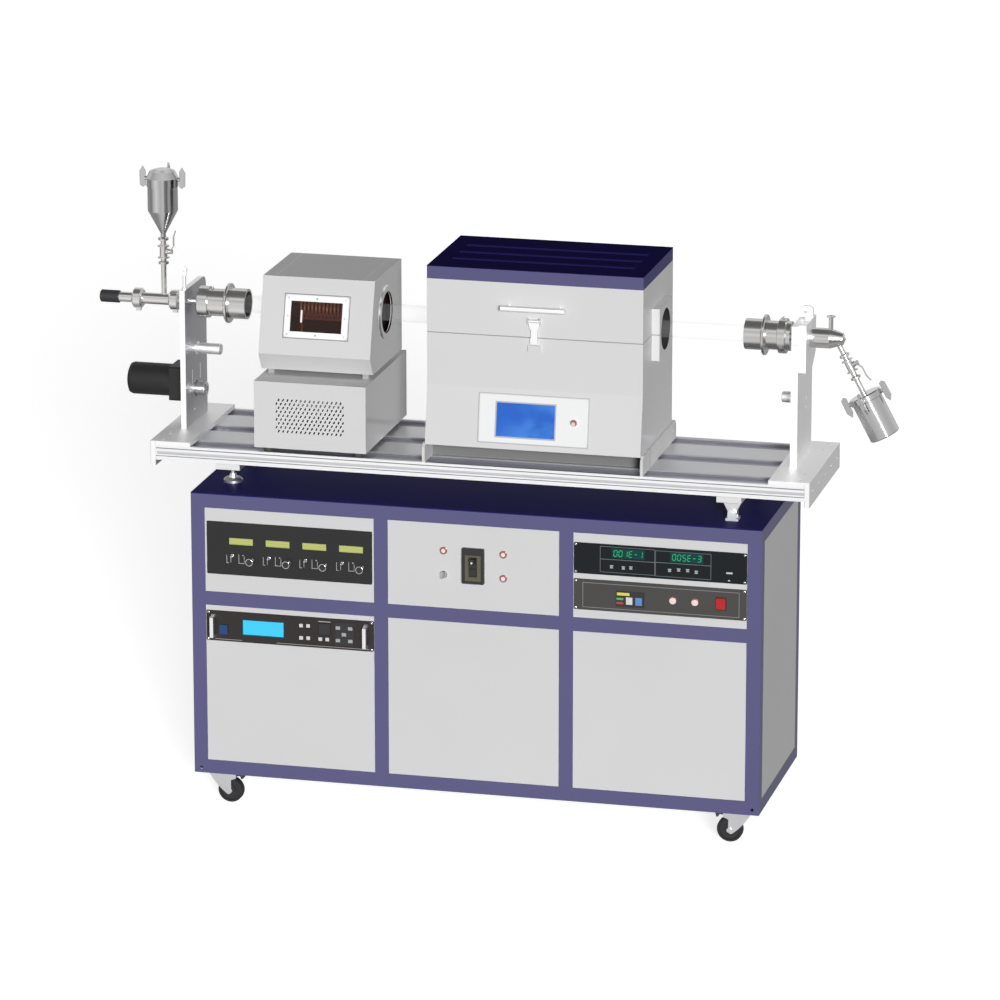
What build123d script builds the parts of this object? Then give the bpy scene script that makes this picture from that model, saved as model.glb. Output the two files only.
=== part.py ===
from build123d import *
import os
from math import atan2, cos, radians, sin

# Rotary tube furnace on a wheeled cabinet, for coating powders in a plasma.
# Millimetres. X runs along the tube, Y away from the operator, Z up.
# The origin is on the floor under the middle of the cabinet.

os.makedirs("parts", exist_ok=True)

# ---------------------------------------------------------------- clearances
slip = 0.3            # between pieces that move past each other
running = 0.05        # radial clearance of a pin or shaft in its own bore
chassis_gap = 1.0     # round an instrument where it passes through its panel

# ---------------------------------------------------------------- cabinet sizes
bay_width = 500
bay_count = 3
frame_tube = 40
frame_wall = 2
cabinet_depth = 560
cabinet_bottom = 100
lower_bay_height = 466.5
upper_bay_height = 248.5
top_sheet = 3
panel_sheet = 1.5
panel_recess = 4
corner_hole = 10
cabinet_width = bay_count * bay_width + (bay_count + 1) * frame_tube
cabinet_front = -cabinet_depth / 2
mid_rail = cabinet_bottom + frame_tube + lower_bay_height
top_rail = mid_rail + frame_tube + upper_bay_height
frame_top = top_rail + frame_tube
cabinet_top_z = frame_top + top_sheet
post_pitch = bay_width + frame_tube
post_xs = [(i - bay_count / 2) * post_pitch for i in range(bay_count + 1)]
bay_xs = [(i - (bay_count - 1) / 2) * post_pitch for i in range(bay_count)]
post_y = cabinet_depth / 2 - frame_tube / 2
panel_front = cabinet_front + panel_recess

# ---------------------------------------------------------------- casters
wheel_dia = 75
wheel_width = 25
caster_trail = 24
caster_x = 761
caster_y = 223
caster_plate = 3
caster_plate_length = 92
caster_plate_width = 66
raceway_dia = 46
raceway_height = 5
crown_sheet = 3
cheek_sheet = 2.5
cheek_gap = 1.5
axle_dia = 8
hub_dia = 30
brake_pin_dia = 4
brake_pin_lead = 35
brake_length = 34
axle_z = wheel_dia / 2
crown_top = cabinet_bottom - caster_plate - raceway_height - slip
cheek_inside = wheel_width / 2 + cheek_gap

# ---------------------------------------------------------------- instruments
face_plate = 3
rack_width = 496
rack_height = 90
chassis_width = 440
chassis_depth = 300
chassis_wall = 1.5
handle_dia = 10
handle_reach = 28
mfc_width = 488
mfc_height = 156
mfc_z = 778
mfc_channels = 4
mfc_pitch = 108.3
mfc_window_width = 70
mfc_window_height = 19
mfc_window_z = 800
mfc_knob_dia = 24
mfc_knob_height = 14
mfc_knob_z = 744.6
mfc_knob_offset = 27.5
rf_z = 546
rf_screen_x = -619.5
rf_screen_width = 120
rf_screen_height = 43
rf_rocker_x = -737.3
rf_rocker_z = 536
rf_rocker_width = 24
rf_rocker_height = 30
gauge_z = 821.8
pump_z = 716
pump_rocker_x = 714.5
pump_rocker_width = 27
pump_rocker_height = 33
rocker_depth = 9
rocker_proud = 4
lamp_dia = 22
lamp_proud = 5
lamp_body_dia = 16
pump_lamp_xs = [577, 640.4]
lamp_column = 87
lamp_row_high = 815
lamp_row_low = 744.5
breaker_width = 65
breaker_height = 105
breaker_z = 776
breaker_proud = 8
toggle_width = 14
toggle_dia = 16
key_dia = 22

# ---------------------------------------------------------------- tilting platform
axis_y = -27          # the tube's axis
axis_z = 1435
platform_length = 1914
rail_width = 90
rail_count = 5
rail_height = 43
rail_bottom = 1019
channel_width = 66       # the wide recess along every second rail
channel_depth = 10
slot_depth = 9
slot_width = 8
end_plate_sheet = 16
end_plate_bottom = 1002
mount_plate_sheet = 12
mount_plate_length = 118
crossbar_x = 728
crossbar_width = 71
crossbar_height = 18
tilt_offset = 163        # the tilt hinges, each side of the tube's axis
foot_offset = 112        # the levelling feet, each side of the tube's axis
foot_shift = 17          # the feet stand this much outside the crossbar's middle
foot_pad_dia = 55
foot_stud_dia = 12
tilt_pin_dia = 12
tilt_pin_z = 959
tilt_eye_dia = 26
tilt_eye_width = 24
clevis_ear = 6
rail_top = rail_bottom + rail_height
platform_width = rail_width * rail_count
platform_front = axis_y - 223
platform_back = platform_front + platform_width
mount_plate_top = rail_top + mount_plate_sheet
crossbar_bottom = rail_bottom - crossbar_height

# ---------------------------------------------------------------- uprights and tube
upright_sheet = 16
left_upright_x = -911
right_upright_x = 870
right_block_sheet = 22
right_block_bottom = 1348
block_top = 1484
block_back = 46          # the right clamp block's back, short of the upright's
lug_width = 36
lug_height = 31
lug_sheet = 12
lug_eye = 9
lug_y = 14
upright_front = 71    # ahead of the tube's axis
upright_back = 139    # behind the tube's axis
upright_top = 1480
upright_corner = 26
upright_mid_y = axis_y + (upright_back - upright_front) / 2
tube_outer_dia = 50
tube_wall = 2.5
sleeve_dia = 88
neck_dia = 79
sleeve_bore = 74
ring_dia = 116
ring_width = 9
collar_dia = 91
tube_seat_gap = 0.1
feed_pipe_dia = 24
outlet_pipe_dia = 57
journal_dia = 24

# ---------------------------------------------------------------- split furnace
furnace_left = -148
furnace_length = 622
furnace_front = -220
furnace_foot_front = -248
furnace_back = 165
furnace_bottom = 1115
furnace_crease = 1284.5
lid_cover_bottom = 1589
lid_cover_top = 1626
casing_sheet = 2
chamber_dia = 118
rod_dia = 8
rods_per_half = 5
ear_width = 160
ear_height = 75
ear_reach = 22
lid_hinge_gap = 8
lid_knuckle_dia = 12
lid_pin_dia = 6
knuckle_length = 24
lid_handle_length = 185
lid_handle_z = 1521
lid_handle_reach = 26
latch_z = 1484
latch_drop = 66
latch_width = 30
panel_plate_width = 311
panel_plate_height = 133
panel_plate_sheet = 3
panel_screen_width = 168
panel_screen_height = 95
panel_screen_offset = -21
panel_button_offset = 117.5
panel_button_dia = 22
plinth_setback = 90
plinth_sheet = 3
side_plate_sheet = 8
furnace_mid = furnace_left + furnace_length / 2

# ---------------------------------------------------------------- plasma box
plasma_left = -648
plasma_length = 328
plasma_sheet = 2
plasma_port_dia = 120
plasma_ring_dia = 157
plasma_ring_reach = 5
plasma_base_length = 328
plasma_base_bottom = 1075
plasma_base_top = 1269
plasma_post = 18
post_inset = 25
window_width = 186
window_height = 120
window_glass_width = 151
window_glass_height = 87
vent_columns = 16
vent_rows = 9
vent_pitch_x = 13
vent_pitch_z = 11.4
vent_slot = 4.2
vent_z = 1171.6
coil_turns = 14
coil_dia = 64
coil_wire = 6
coil_pitch = 11
coil_shift = -8
plasma_mid = plasma_left + plasma_length / 2

# ---------------------------------------------------------------- drive
motor_dia = 93
motor_length = 130
gearbox_size = 100
gearbox_length = 35
drive_z = 1188
shaft_drop = 20          # the output shaft sits this much below the motor's middle
pulley_dia = 41
pulley_reach = 31
motor_shaft_dia = 12
stub_dia = 32
stub_z = 1288
stub_length = 76
right_stub_z = 1250
right_stub_length = 44
slot_spread = 38

# ---------------------------------------------------------------- feed and collection
feed_x = -978
feed_end_x = -1168
feed_cap_length = 56
feed_cap_dia = 36
kf_clamp_dia = 58
kf_flange_dia = 30
small_pipe_dia = 15
hopper_dia = 87
hopper_neck_length = 16
hopper_cone_height = 68
hopper_wall_height = 71
vessel_lid_height = 49
sheet_steel = 2
incline = 28          # degrees from straight down, towards +X
incline_x = 990
incline_z = 1422
canister_dia = 88
canister_start = 172
canister_length = 121


def save(builder, name):
    """Labels a finished piece and writes it as its own STEP file."""
    builder.part.label = name
    export_step(builder.part, f"parts/{name}.step")


def save_group(builders, name):
    """Writes pieces that touch but stay separate solids as one named group."""
    group = Compound(label=name, children=[piece.part for piece in builders])
    export_step(group, f"parts/{name}.step")


def facing(x, y, z):
    """A plane looking at the operator: its x is +X, its y is +Z and its normal is -Y."""
    return Plane(origin=(x, y, z), x_dir=(1, 0, 0), z_dir=(0, -1, 0))


def along_x(x, y, z):
    """A plane across the tube: its normal is +X, its x is +Y and its y is +Z."""
    return Plane(origin=(x, y, z), x_dir=(0, 1, 0), z_dir=(1, 0, 0))


def box_at(x0, x1, y0, y1, z0, z1, mode=Mode.ADD):
    """A block between two corners."""
    with Locations(((x0 + x1) / 2, (y0 + y1) / 2, (z0 + z1) / 2)):
        Box(x1 - x0, y1 - y0, z1 - z0, mode=mode)


def turned_on(plane, points, mode=Mode.ADD):
    """A piece turned about the z of plane, from its (radius, along) outline."""
    side = Plane(origin=plane.origin, x_dir=plane.x_dir, z_dir=-plane.y_dir)
    with BuildSketch(side) as outline:
        with BuildLine():
            Polyline(*points, close=True)
        make_face()
    revolve(outline.sketch, axis=Axis(plane.origin, plane.z_dir), mode=mode)


def turned_x(points, y=axis_y, z=axis_z, mode=Mode.ADD):
    """A piece turned about a line along X, from its (x, radius) outline."""
    turned_on(along_x(0, y, z), [(radius, x) for x, radius in points], mode)


# ================================================================ cabinet
def tube_block(x0, x1, y0, y1, z0, z1, along):
    """A square tube between two corners, open at its two ends."""
    box_at(x0, x1, y0, y1, z0, z1)
    w = frame_wall
    ends = {"x": (0, w, w), "y": (w, 0, w), "z": (w, w, 0)}[along]
    box_at(x0 + ends[0], x1 - ends[0], y0 + ends[1], y1 - ends[1],
           z0 + ends[2], z1 - ends[2], mode=Mode.SUBTRACT)


def frame_tubes():
    """Every tube of the welded frame as (corners, direction)."""
    half = frame_tube / 2
    levels = [cabinet_bottom, mid_rail, top_rail]
    for x in post_xs:
        for y in (-post_y, post_y):
            yield (x - half, x + half, y - half, y + half, cabinet_bottom, frame_top), "z"
    for x in bay_xs:
        for y in (-post_y, post_y):
            for z in levels:
                reach = bay_width / 2
                yield (x - reach, x + reach, y - half, y + half, z, z + frame_tube), "x"
    for i, x in enumerate(post_xs):
        outer = i in (0, bay_count)
        for z in levels if not outer else (levels[0], levels[2]):
            reach = post_y - half
            yield (x - half, x + half, -reach, reach, z, z + frame_tube), "y"


frame_pieces = []
for corners, along in frame_tubes():
    with BuildPart() as frame_piece:
        tube_block(*corners, along)
        mid_x = (corners[0] + corners[1]) / 2
        if along == "z" and corners[2] < 0 and abs(mid_x) > cabinet_width / 2 - frame_tube:
            with Locations(facing(mid_x, cabinet_front, cabinet_bottom + frame_tube * 0.4)):
                Cylinder(corner_hole / 2, frame_wall * 3, mode=Mode.SUBTRACT)
    frame_pieces.append(frame_piece)
save_group(frame_pieces, "cabinet_frame")

with BuildPart() as cabinet_top:
    box_at(-cabinet_width / 2, cabinet_width / 2, cabinet_front, -cabinet_front,
           frame_top, cabinet_top_z)
save(cabinet_top, "cabinet_top")


# ---------------------------------------------------------------- sheet panels of the cabinet
instruments = {
    # name: (bay, level, middle height, face width, face height)
    "mass_flow_controller": (0, 1, mfc_z, mfc_width, mfc_height),
    "rf_generator": (0, 0, rf_z, rack_width, rack_height),
    "vacuum_gauge": (2, 1, gauge_z, rack_width, rack_height),
    "pump_controller": (2, 1, pump_z, rack_width, rack_height),
}
levels = [(cabinet_bottom + frame_tube, mid_rail), (mid_rail + frame_tube, top_rail)]
chassis_inset = 7     # a chassis is lower than its face by this much at top and bottom
lamp_spots = [(-lamp_column, lamp_row_high), (lamp_column, lamp_row_high), (lamp_column, lamp_row_low)]
key_spot = (-lamp_column, lamp_row_low)


def bay_panel(bay, level, y, cutouts=False):
    """One sheet that fills a bay of the frame, with the cut-outs of what it carries."""
    x = bay_xs[bay]
    low, high = levels[level]
    with BuildPart() as panel:
        box_at(x - bay_width / 2, x + bay_width / 2, y, y + panel_sheet, low, high)
        if cutouts:
            for place_bay, place_level, z, width, height in instruments.values():
                if (place_bay, place_level) == (bay, level):
                    reach_x = chassis_width / 2 + chassis_gap
                    reach_z = height / 2 - chassis_inset + chassis_gap
                    box_at(x - reach_x, x + reach_x, y - 1, y + panel_sheet + 1,
                           z - reach_z, z + reach_z, mode=Mode.SUBTRACT)
            if (bay, level) == (1, 1):
                for lamp_x, lamp_z in lamp_spots + [key_spot]:
                    with Locations(facing(lamp_x, y, lamp_z)):
                        Cylinder(lamp_body_dia / 2 + slip, 10, mode=Mode.SUBTRACT)
                reach_x = breaker_width / 2 - 4
                reach_z = breaker_height / 2 - 4
                box_at(-reach_x, reach_x, y - 1, y + panel_sheet + 1,
                       breaker_z - reach_z, breaker_z + reach_z, mode=Mode.SUBTRACT)
    return panel


panels = []
for bay in range(bay_count):
    for level in range(2):
        panels.append(bay_panel(bay, level, panel_front, cutouts=True))
        panels.append(bay_panel(bay, level, -panel_front - panel_sheet))
side_reach = post_y - frame_tube / 2
for side in (-1, 1):
    outer = side * (cabinet_width / 2)
    inner = side * (cabinet_width / 2 - panel_sheet)
    with BuildPart() as side_panel:
        box_at(min(outer, inner), max(outer, inner), -side_reach, side_reach,
               cabinet_bottom + frame_tube, top_rail)
    panels.append(side_panel)
with BuildPart() as floor_panel:
    floor_reach = cabinet_width / 2 - panel_sheet
    box_at(-floor_reach, floor_reach, -side_reach, side_reach,
           cabinet_bottom + frame_tube, cabinet_bottom + frame_tube + panel_sheet)
panels.append(floor_panel)
save_group(panels, "cabinet_panels")


# ================================================================ instruments in the rack
def chassis(name, openings=()):
    """A face plate and the open-fronted sheet box behind it. openings cuts the face."""
    bay, level, z, width, height = instruments[name]
    x = bay_xs[bay]
    with BuildPart() as face:
        box_at(x - width / 2, x + width / 2, panel_front - face_plate, panel_front,
               z - height / 2, z + height / 2)
        fillet(face.edges().filter_by(Axis.Y), radius=3)
        for cut in openings:
            cut()
    reach_x = chassis_width / 2
    reach_z = height / 2 - chassis_inset
    back = panel_front + chassis_depth
    with BuildPart() as case:
        box_at(x - reach_x, x + reach_x, panel_front, back, z - reach_z, z + reach_z)
        w = chassis_wall
        box_at(x - reach_x + w, x + reach_x - w, panel_front, back - w,
               z - reach_z + w, z + reach_z - w, mode=Mode.SUBTRACT)
    save_group([face, case], name)


face_front = panel_front - face_plate
recess = 1.2          # depth of a display window in a face plate


def window_cut(x, z, width, height, depth=recess):
    """Cuts a display window into a face plate."""
    box_at(x - width / 2, x + width / 2, face_front - 1, face_front + depth,
           z - height / 2, z + height / 2, mode=Mode.SUBTRACT)


def round_cut(x, z, dia):
    """Drills a face plate right through."""
    with Locations(facing(x, panel_front - face_plate / 2, z)):
        Cylinder(dia / 2, face_plate * 3, mode=Mode.SUBTRACT)


mfc_window_xs = [bay_xs[0] + (i - (mfc_channels - 1) / 2) * mfc_pitch + 20 for i in range(mfc_channels)]
knob_shaft_dia = 6


def mfc_cuts():
    for x in mfc_window_xs:
        window_cut(x, mfc_window_z, mfc_window_width, mfc_window_height)
        round_cut(x + mfc_knob_offset, mfc_knob_z, knob_shaft_dia + 2 * running)


chassis("mass_flow_controller", [mfc_cuts])


def rocker_cut(x, z, width, height):
    """The opening that a rocker swings in."""
    box_at(x - width / 2 - slip, x + width / 2 + slip, face_front - 1, panel_front + 1,
           z - height / 2 - slip, z + height / 2 + slip, mode=Mode.SUBTRACT)


def rf_cuts():
    window_cut(rf_screen_x, rf_z, rf_screen_width, rf_screen_height)
    rocker_cut(rf_rocker_x, rf_rocker_z, rf_rocker_width, rf_rocker_height)


chassis("rf_generator", [rf_cuts])


gauge_window_width = 96
gauge_window_xs = [bay_xs[2] - 92, bay_xs[2] + 76]
gauge_window_height = 30


def gauge_cuts():
    for x in gauge_window_xs:
        window_cut(x, gauge_z + 20, gauge_window_width, gauge_window_height)


chassis("vacuum_gauge", [gauge_cuts])


def pump_cuts():
    rocker_cut(pump_rocker_x, pump_z, pump_rocker_width, pump_rocker_height)
    for x in pump_lamp_xs:
        round_cut(x, pump_z, lamp_body_dia + 2 * slip)


chassis("pump_controller", [pump_cuts])

handle_height = 64
handles = []
for side in (-1, 1):
    x = bay_xs[0] + side * (rack_width / 2 - 22)
    with BuildPart() as handle:
        with BuildLine(Plane.YZ.offset(x)):
            Polyline((face_front, rf_z - handle_height / 2),
                     (face_front - handle_reach + handle_dia / 2, rf_z - handle_height / 2 + 6),
                     (face_front - handle_reach + handle_dia / 2, rf_z + handle_height / 2 - 6),
                     (face_front, rf_z + handle_height / 2))
        with BuildSketch(facing(x, face_front, rf_z - handle_height / 2)):
            Rectangle(handle_dia, handle_dia)
        sweep(transition=Transition.RIGHT)
        split(bisect_by=Plane(origin=(x, face_front, rf_z), z_dir=(0, 1, 0)), keep=Keep.BOTTOM)
    handles.append(handle)
save_group(handles, "rf_handles")


def rocker(name, x, z, width, height):
    """A rocker: a drum about its pivot, cut flat in front and behind."""
    pivot_y = face_front + face_plate / 2
    with BuildPart() as piece:
        with BuildSketch(Plane.YZ.offset(x - width / 2)):
            with Locations((pivot_y, z)):
                Circle(height / 2)
            with Locations((face_front - rocker_proud - height / 2, z)):
                Rectangle(height, height * 2, mode=Mode.SUBTRACT)
            with Locations((pivot_y + rocker_depth / 2 + height / 2, z)):
                Rectangle(height, height * 2, mode=Mode.SUBTRACT)
        extrude(amount=width)
    save(piece, name)


rocker("rf_rocker", rf_rocker_x, rf_rocker_z, rf_rocker_width, rf_rocker_height)
rocker("pump_rocker", pump_rocker_x, pump_z, pump_rocker_width, pump_rocker_height)

for i, window_x in enumerate(mfc_window_xs):
    x = window_x + mfc_knob_offset
    with BuildPart() as knob:
        knob_plane = facing(x, face_front - slip, mfc_knob_z)
        turned_on(knob_plane, [(0, 0), (mfc_knob_dia / 2, 0), (mfc_knob_dia / 2, 3),
                               (mfc_knob_dia * 0.38, 4), (mfc_knob_dia * 0.34, mfc_knob_height),
                               (0, mfc_knob_height)])
        with Locations(knob_plane.offset(-face_plate * 1.5)):
            Cylinder(knob_shaft_dia / 2, face_plate * 3)
        with Locations(facing(x, face_front - slip - mfc_knob_height - 0.4, mfc_knob_z + 4)):
            Box(1.4, 7, 1.2)
    save(knob, f"mfc_knob_{i + 1}")

# ---------------------------------------------------------------- centre panel
lamps = []
lamp_places = [(x, panel_front, z) for x, z in lamp_spots] + [(x, face_front, pump_z) for x in pump_lamp_xs]
for x, seat_y, z in lamp_places:
    with BuildPart() as lamp:
        turned_on(facing(x, seat_y, z), [
            (0, -18), (lamp_body_dia / 2, -18), (lamp_body_dia / 2, 0), (lamp_dia / 2, 0),
            (lamp_dia / 2, 2), (lamp_dia / 2 - 2, 3), (lamp_dia / 2 - 3.5, 3),
            (lamp_dia / 2 - 4.5, lamp_proud), (0, lamp_proud + 1)])
    lamps.append(lamp)
save_group(lamps, "pilot_lamps")

with BuildPart() as breaker_box:
    front = panel_front - breaker_proud
    box_at(-breaker_width / 2, breaker_width / 2, front, panel_front,
           breaker_z - breaker_height / 2, breaker_z + breaker_height / 2)
    fillet(breaker_box.edges().filter_by(Axis.Y), radius=4)
    box_at(-breaker_width / 2 + 5, breaker_width / 2 - 5, panel_front, panel_front + 50,
           breaker_z - breaker_height / 2 + 5, breaker_z + breaker_height / 2 - 5)
    box_at(-breaker_width * 0.33, breaker_width * 0.33, front - 1, front + 2,
           breaker_z - breaker_height * 0.36, breaker_z + breaker_height * 0.36, mode=Mode.SUBTRACT)
    toggle_z = breaker_z + breaker_height * 0.12
    box_at(-toggle_width / 2 - slip, toggle_width / 2 + slip, front - 1, front + 12,
           toggle_z - toggle_dia / 2 - slip, toggle_z + toggle_dia / 2 + slip, mode=Mode.SUBTRACT)
save(breaker_box, "breaker_box")

with BuildPart() as breaker_toggle:
    toggle_y = front + 2
    with BuildSketch(Plane.YZ.offset(-toggle_width / 2)):
        with Locations((toggle_y, toggle_z)):
            Circle(toggle_dia / 2)
        with BuildLine():
            Polyline((toggle_y, toggle_z + 7), (toggle_y - 17, toggle_z + 11),
                     (toggle_y - 18, toggle_z + 5), (toggle_y, toggle_z - 5), close=True)
        make_face()
    extrude(amount=toggle_width)
save(breaker_toggle, "breaker_toggle")

with BuildPart() as key_switch:
    turned_on(facing(key_spot[0], panel_front - slip, key_spot[1]), [
        (0, -20), (lamp_body_dia / 2, -20), (lamp_body_dia / 2, 0), (key_dia / 2, 0),
        (key_dia / 2, 2), (key_dia / 2 - 2, 4), (0, 4)])
    with Locations(facing(key_spot[0], panel_front - slip - 12, key_spot[1])):
        Box(3, 15, 18)
save(key_switch, "key_switch")


# ================================================================ casters
caster_places = [(-1, -1), (1, -1), (-1, 1), (1, 1)]      # left or right, front or back
plates = []
for side, depth in caster_places:
    x, y = side * caster_x, depth * caster_y
    with BuildPart() as plate:
        with BuildSketch(Plane((x, y, cabinet_bottom - caster_plate))):
            RectangleRounded(caster_plate_length, caster_plate_width, 6)
            with GridLocations(caster_plate_length - 20, caster_plate_width - 18, 2, 2):
                SlotOverall(13, 8.5, mode=Mode.SUBTRACT)
        extrude(amount=caster_plate)
        turned_on(Plane((x, y, cabinet_bottom - caster_plate - raceway_height)), [
            (0, 0), (raceway_dia / 2 - 3, 0), (raceway_dia / 2, raceway_height), (0, raceway_height)])
    plates.append(plate)
save_group(plates, "caster_plates")


def cheek_outline(inward):
    """Side view of a fork cheek about the swivel axis; inward is +1 or -1 along X."""
    tip = caster_trail - 8
    with BuildLine() as line:
        Polyline((inward * -40, crown_top), (inward * 42, crown_top), (inward * 42, crown_top - 17),
                 (inward * (caster_trail + 3), crown_top - 23), (inward * (caster_trail + 3), axle_z - 6))
        RadiusArc((inward * (caster_trail + 3), axle_z - 6), (inward * tip, axle_z - 11), inward * 9)
        ThreePointArc((inward * tip, axle_z - 11), (inward * -20, crown_top - 30),
                      (inward * -40, crown_top))
    return line


for i, (side, depth) in enumerate(caster_places):
    inward = -side
    x, y = side * caster_x, depth * caster_y
    wheel_x = x + inward * caster_trail
    with BuildPart() as fork:
        cheeks_out = cheek_inside + cheek_sheet
        with BuildSketch(facing(x, y - cheek_inside, 0)):
            with BuildLine():
                add(cheek_outline(inward))
            make_face()
        extrude(amount=cheek_sheet)
        mirror(about=Plane.XZ.offset(-y))
        box_at(x - 40, x + 40, y - cheeks_out, y + cheeks_out, crown_top - crown_sheet, crown_top)
        with Locations(facing(wheel_x, y, axle_z)):
            Cylinder(axle_dia / 2, 2 * cheeks_out + 5)
        for end in (-1, 1):
            with Locations(facing(wheel_x, y + end * (cheeks_out + 2), axle_z)):
                Cylinder(axle_dia / 2 + 3, 4)
        if depth < 0:
            with Locations(facing(x + inward * brake_pin_lead, y, crown_top - 9)):
                Cylinder(brake_pin_dia / 2, 2 * cheeks_out)
    save(fork, f"caster_fork_{i + 1}")
    with BuildPart() as wheel:
        half = wheel_width / 2
        rim = wheel_dia / 2
        turned_on(facing(wheel_x, y, axle_z), [
            (axle_dia / 2 + running, -half - 1), (hub_dia / 2, -half - 1), (hub_dia / 2, -half + 4),
            (rim - 9, -half + 4), (rim - 7, -half), (rim - 3, -half), (rim, -half + 5),
            (rim, half - 5), (rim - 3, half), (rim - 7, half), (rim - 9, half - 4),
            (hub_dia / 2, half - 4), (hub_dia / 2, half + 1), (axle_dia / 2 + running, half + 1)])
    save(wheel, f"caster_wheel_{i + 1}")
    if depth < 0:
        with BuildPart() as pedal:
            pin_x = x + inward * brake_pin_lead
            pin_z = crown_top - 9
            with Locations(facing(pin_x, y, pin_z)):
                Cylinder(4, 2 * cheek_inside - 2 * slip)
            with BuildSketch(facing(pin_x, y, 0)):
                with BuildLine():
                    Polyline((0, pin_z - 3), (0, pin_z + 3), (inward * brake_length * 0.9, pin_z + 3),
                             (inward * brake_length * 0.8, pin_z - 9),
                             (inward * brake_length * 0.65, pin_z - 9),
                             (inward * brake_length * 0.55, pin_z - 1), close=True)
                make_face()
            extrude(amount=cheek_inside - slip, both=True)
            with Locations(facing(pin_x, y, pin_z)):
                Cylinder(brake_pin_dia / 2 + running, 4 * cheek_inside, mode=Mode.SUBTRACT)
        save(pedal, "brake_pedal_left" if side < 0 else "brake_pedal_right")


# ================================================================ tilting platform
end_x = platform_length / 2
rail_reach = end_x - end_plate_sheet
rails = []
for i in range(rail_count):
    y0 = platform_front + i * rail_width
    mid_y = y0 + rail_width / 2
    with BuildPart() as rail:
        with BuildSketch(Plane(origin=(-rail_reach, 0, 0), x_dir=(0, 1, 0), z_dir=(1, 0, 0))):
            with Locations((mid_y, rail_bottom + rail_height / 2)):
                Rectangle(rail_width, rail_height)
            if i % 2 == 0:
                with Locations((mid_y, rail_top - channel_depth / 2)):
                    Rectangle(channel_width, channel_depth, mode=Mode.SUBTRACT)
            for slot in (-1, 1):
                with Locations((mid_y + slot * rail_width / 4, rail_bottom + slot_depth / 2)):
                    Rectangle(slot_width, slot_depth, mode=Mode.SUBTRACT)
            edge = {0: y0, rail_count - 1: y0 + rail_width}.get(i)
            if edge is not None:
                with Locations((edge, rail_bottom + rail_height / 2)):
                    Rectangle(slot_depth, slot_width, mode=Mode.SUBTRACT)
        extrude(amount=2 * rail_reach)
    rails.append(rail)
save_group(rails, "platform_rails")

ends = []
for side in (-1, 1):
    outer, inner = side * end_x, side * rail_reach
    with BuildPart() as end_plate:
        box_at(min(outer, inner), max(outer, inner), platform_front, platform_back,
               end_plate_bottom, mount_plate_top)
        chamfer(end_plate.edges().filter_by(Axis.Z), length=1.5)
        for i in range(rail_count):
            with Locations(along_x(outer, platform_front + (i + 0.5) * rail_width,
                                   rail_bottom + rail_height / 2)):
                Cylinder(5, end_plate_sheet, mode=Mode.SUBTRACT)
    ends.append(end_plate)
    plate_inner = side * (end_x - mount_plate_length)
    with BuildPart() as mount_plate:
        box_at(min(plate_inner, inner), max(plate_inner, inner), platform_front, platform_back,
               rail_top, mount_plate_top)
        for y in (platform_front + 20, platform_front + 90, platform_back - 90, platform_back - 20):
            with Locations(Plane(((plate_inner + inner) / 2 + side * 34, y, mount_plate_top))):
                CounterSinkHole(2.5, 5)
    ends.append(mount_plate)
save_group(ends, "end_plates")

supports = []
tilt_ys = [axis_y - tilt_offset, axis_y + tilt_offset]
foot_ys = [axis_y - foot_offset, axis_y + foot_offset]
for side in (-1, 1):
    x = side * crossbar_x
    with BuildPart() as crossbar:
        box_at(x - crossbar_width / 2, x + crossbar_width / 2, platform_front, platform_back,
               crossbar_bottom, rail_bottom)
        chamfer(crossbar.edges().filter_by(Axis.X), length=1)
    supports.append(crossbar)
    for y in foot_ys if side < 0 else tilt_ys:
        with BuildPart() as support:
            if side < 0:
                pad_bottom = cabinet_top_z + slip
                turned_on(Plane((x - foot_shift, y, 0)), [
                    (0, pad_bottom), (foot_pad_dia / 2, pad_bottom), (foot_pad_dia / 2, pad_bottom + 7),
                    (foot_pad_dia / 2 - 5, pad_bottom + 12), (12, pad_bottom + 13), (9, pad_bottom + 24),
                    (foot_stud_dia / 2, pad_bottom + 24), (foot_stud_dia / 2, crossbar_bottom - 9),
                    (10, crossbar_bottom - 9), (10, crossbar_bottom), (0, crossbar_bottom)])
            else:
                eye = tilt_eye_dia / 2
                with BuildSketch(facing(x, y, 0)):
                    with BuildLine():
                        Polyline((-30, crossbar_bottom), (30, crossbar_bottom), (28, crossbar_bottom - 6),
                                 (eye, tilt_pin_z + 6), (eye, tilt_pin_z), (-eye, tilt_pin_z),
                                 (-eye, tilt_pin_z + 6), (-28, crossbar_bottom - 6), close=True)
                    make_face()
                    with Locations((0, tilt_pin_z)):
                        Circle(eye)
                        Circle(tilt_pin_dia / 2 + running, mode=Mode.SUBTRACT)
                extrude(amount=tilt_eye_width / 2, both=True)
        supports.append(support)
save_group(supports, "support_feet")

brackets = []
for y in tilt_ys:
    with BuildPart() as bracket:
        ear_inside = tilt_eye_width / 2 + slip
        ear_outside = ear_inside + clevis_ear
        box_at(crossbar_x - 18, crossbar_x + 18, y - ear_outside, y + ear_outside,
               cabinet_top_z, tilt_pin_z - tilt_eye_dia / 2 - 1)
        for side in (-1, 1):
            with BuildSketch(facing(crossbar_x, y + side * (ear_inside + clevis_ear / 2), 0)):
                with Locations((0, (cabinet_top_z + tilt_pin_z) / 2)):
                    Rectangle(24, tilt_pin_z - cabinet_top_z)
                with Locations((0, tilt_pin_z)):
                    Circle(12)
            extrude(amount=clevis_ear / 2, both=True)
        with Locations(facing(crossbar_x, y, tilt_pin_z)):
            Cylinder(tilt_pin_dia / 2, 2 * ear_outside + 4)
    brackets.append(bracket)
save_group(brackets, "tilt_brackets")


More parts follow.
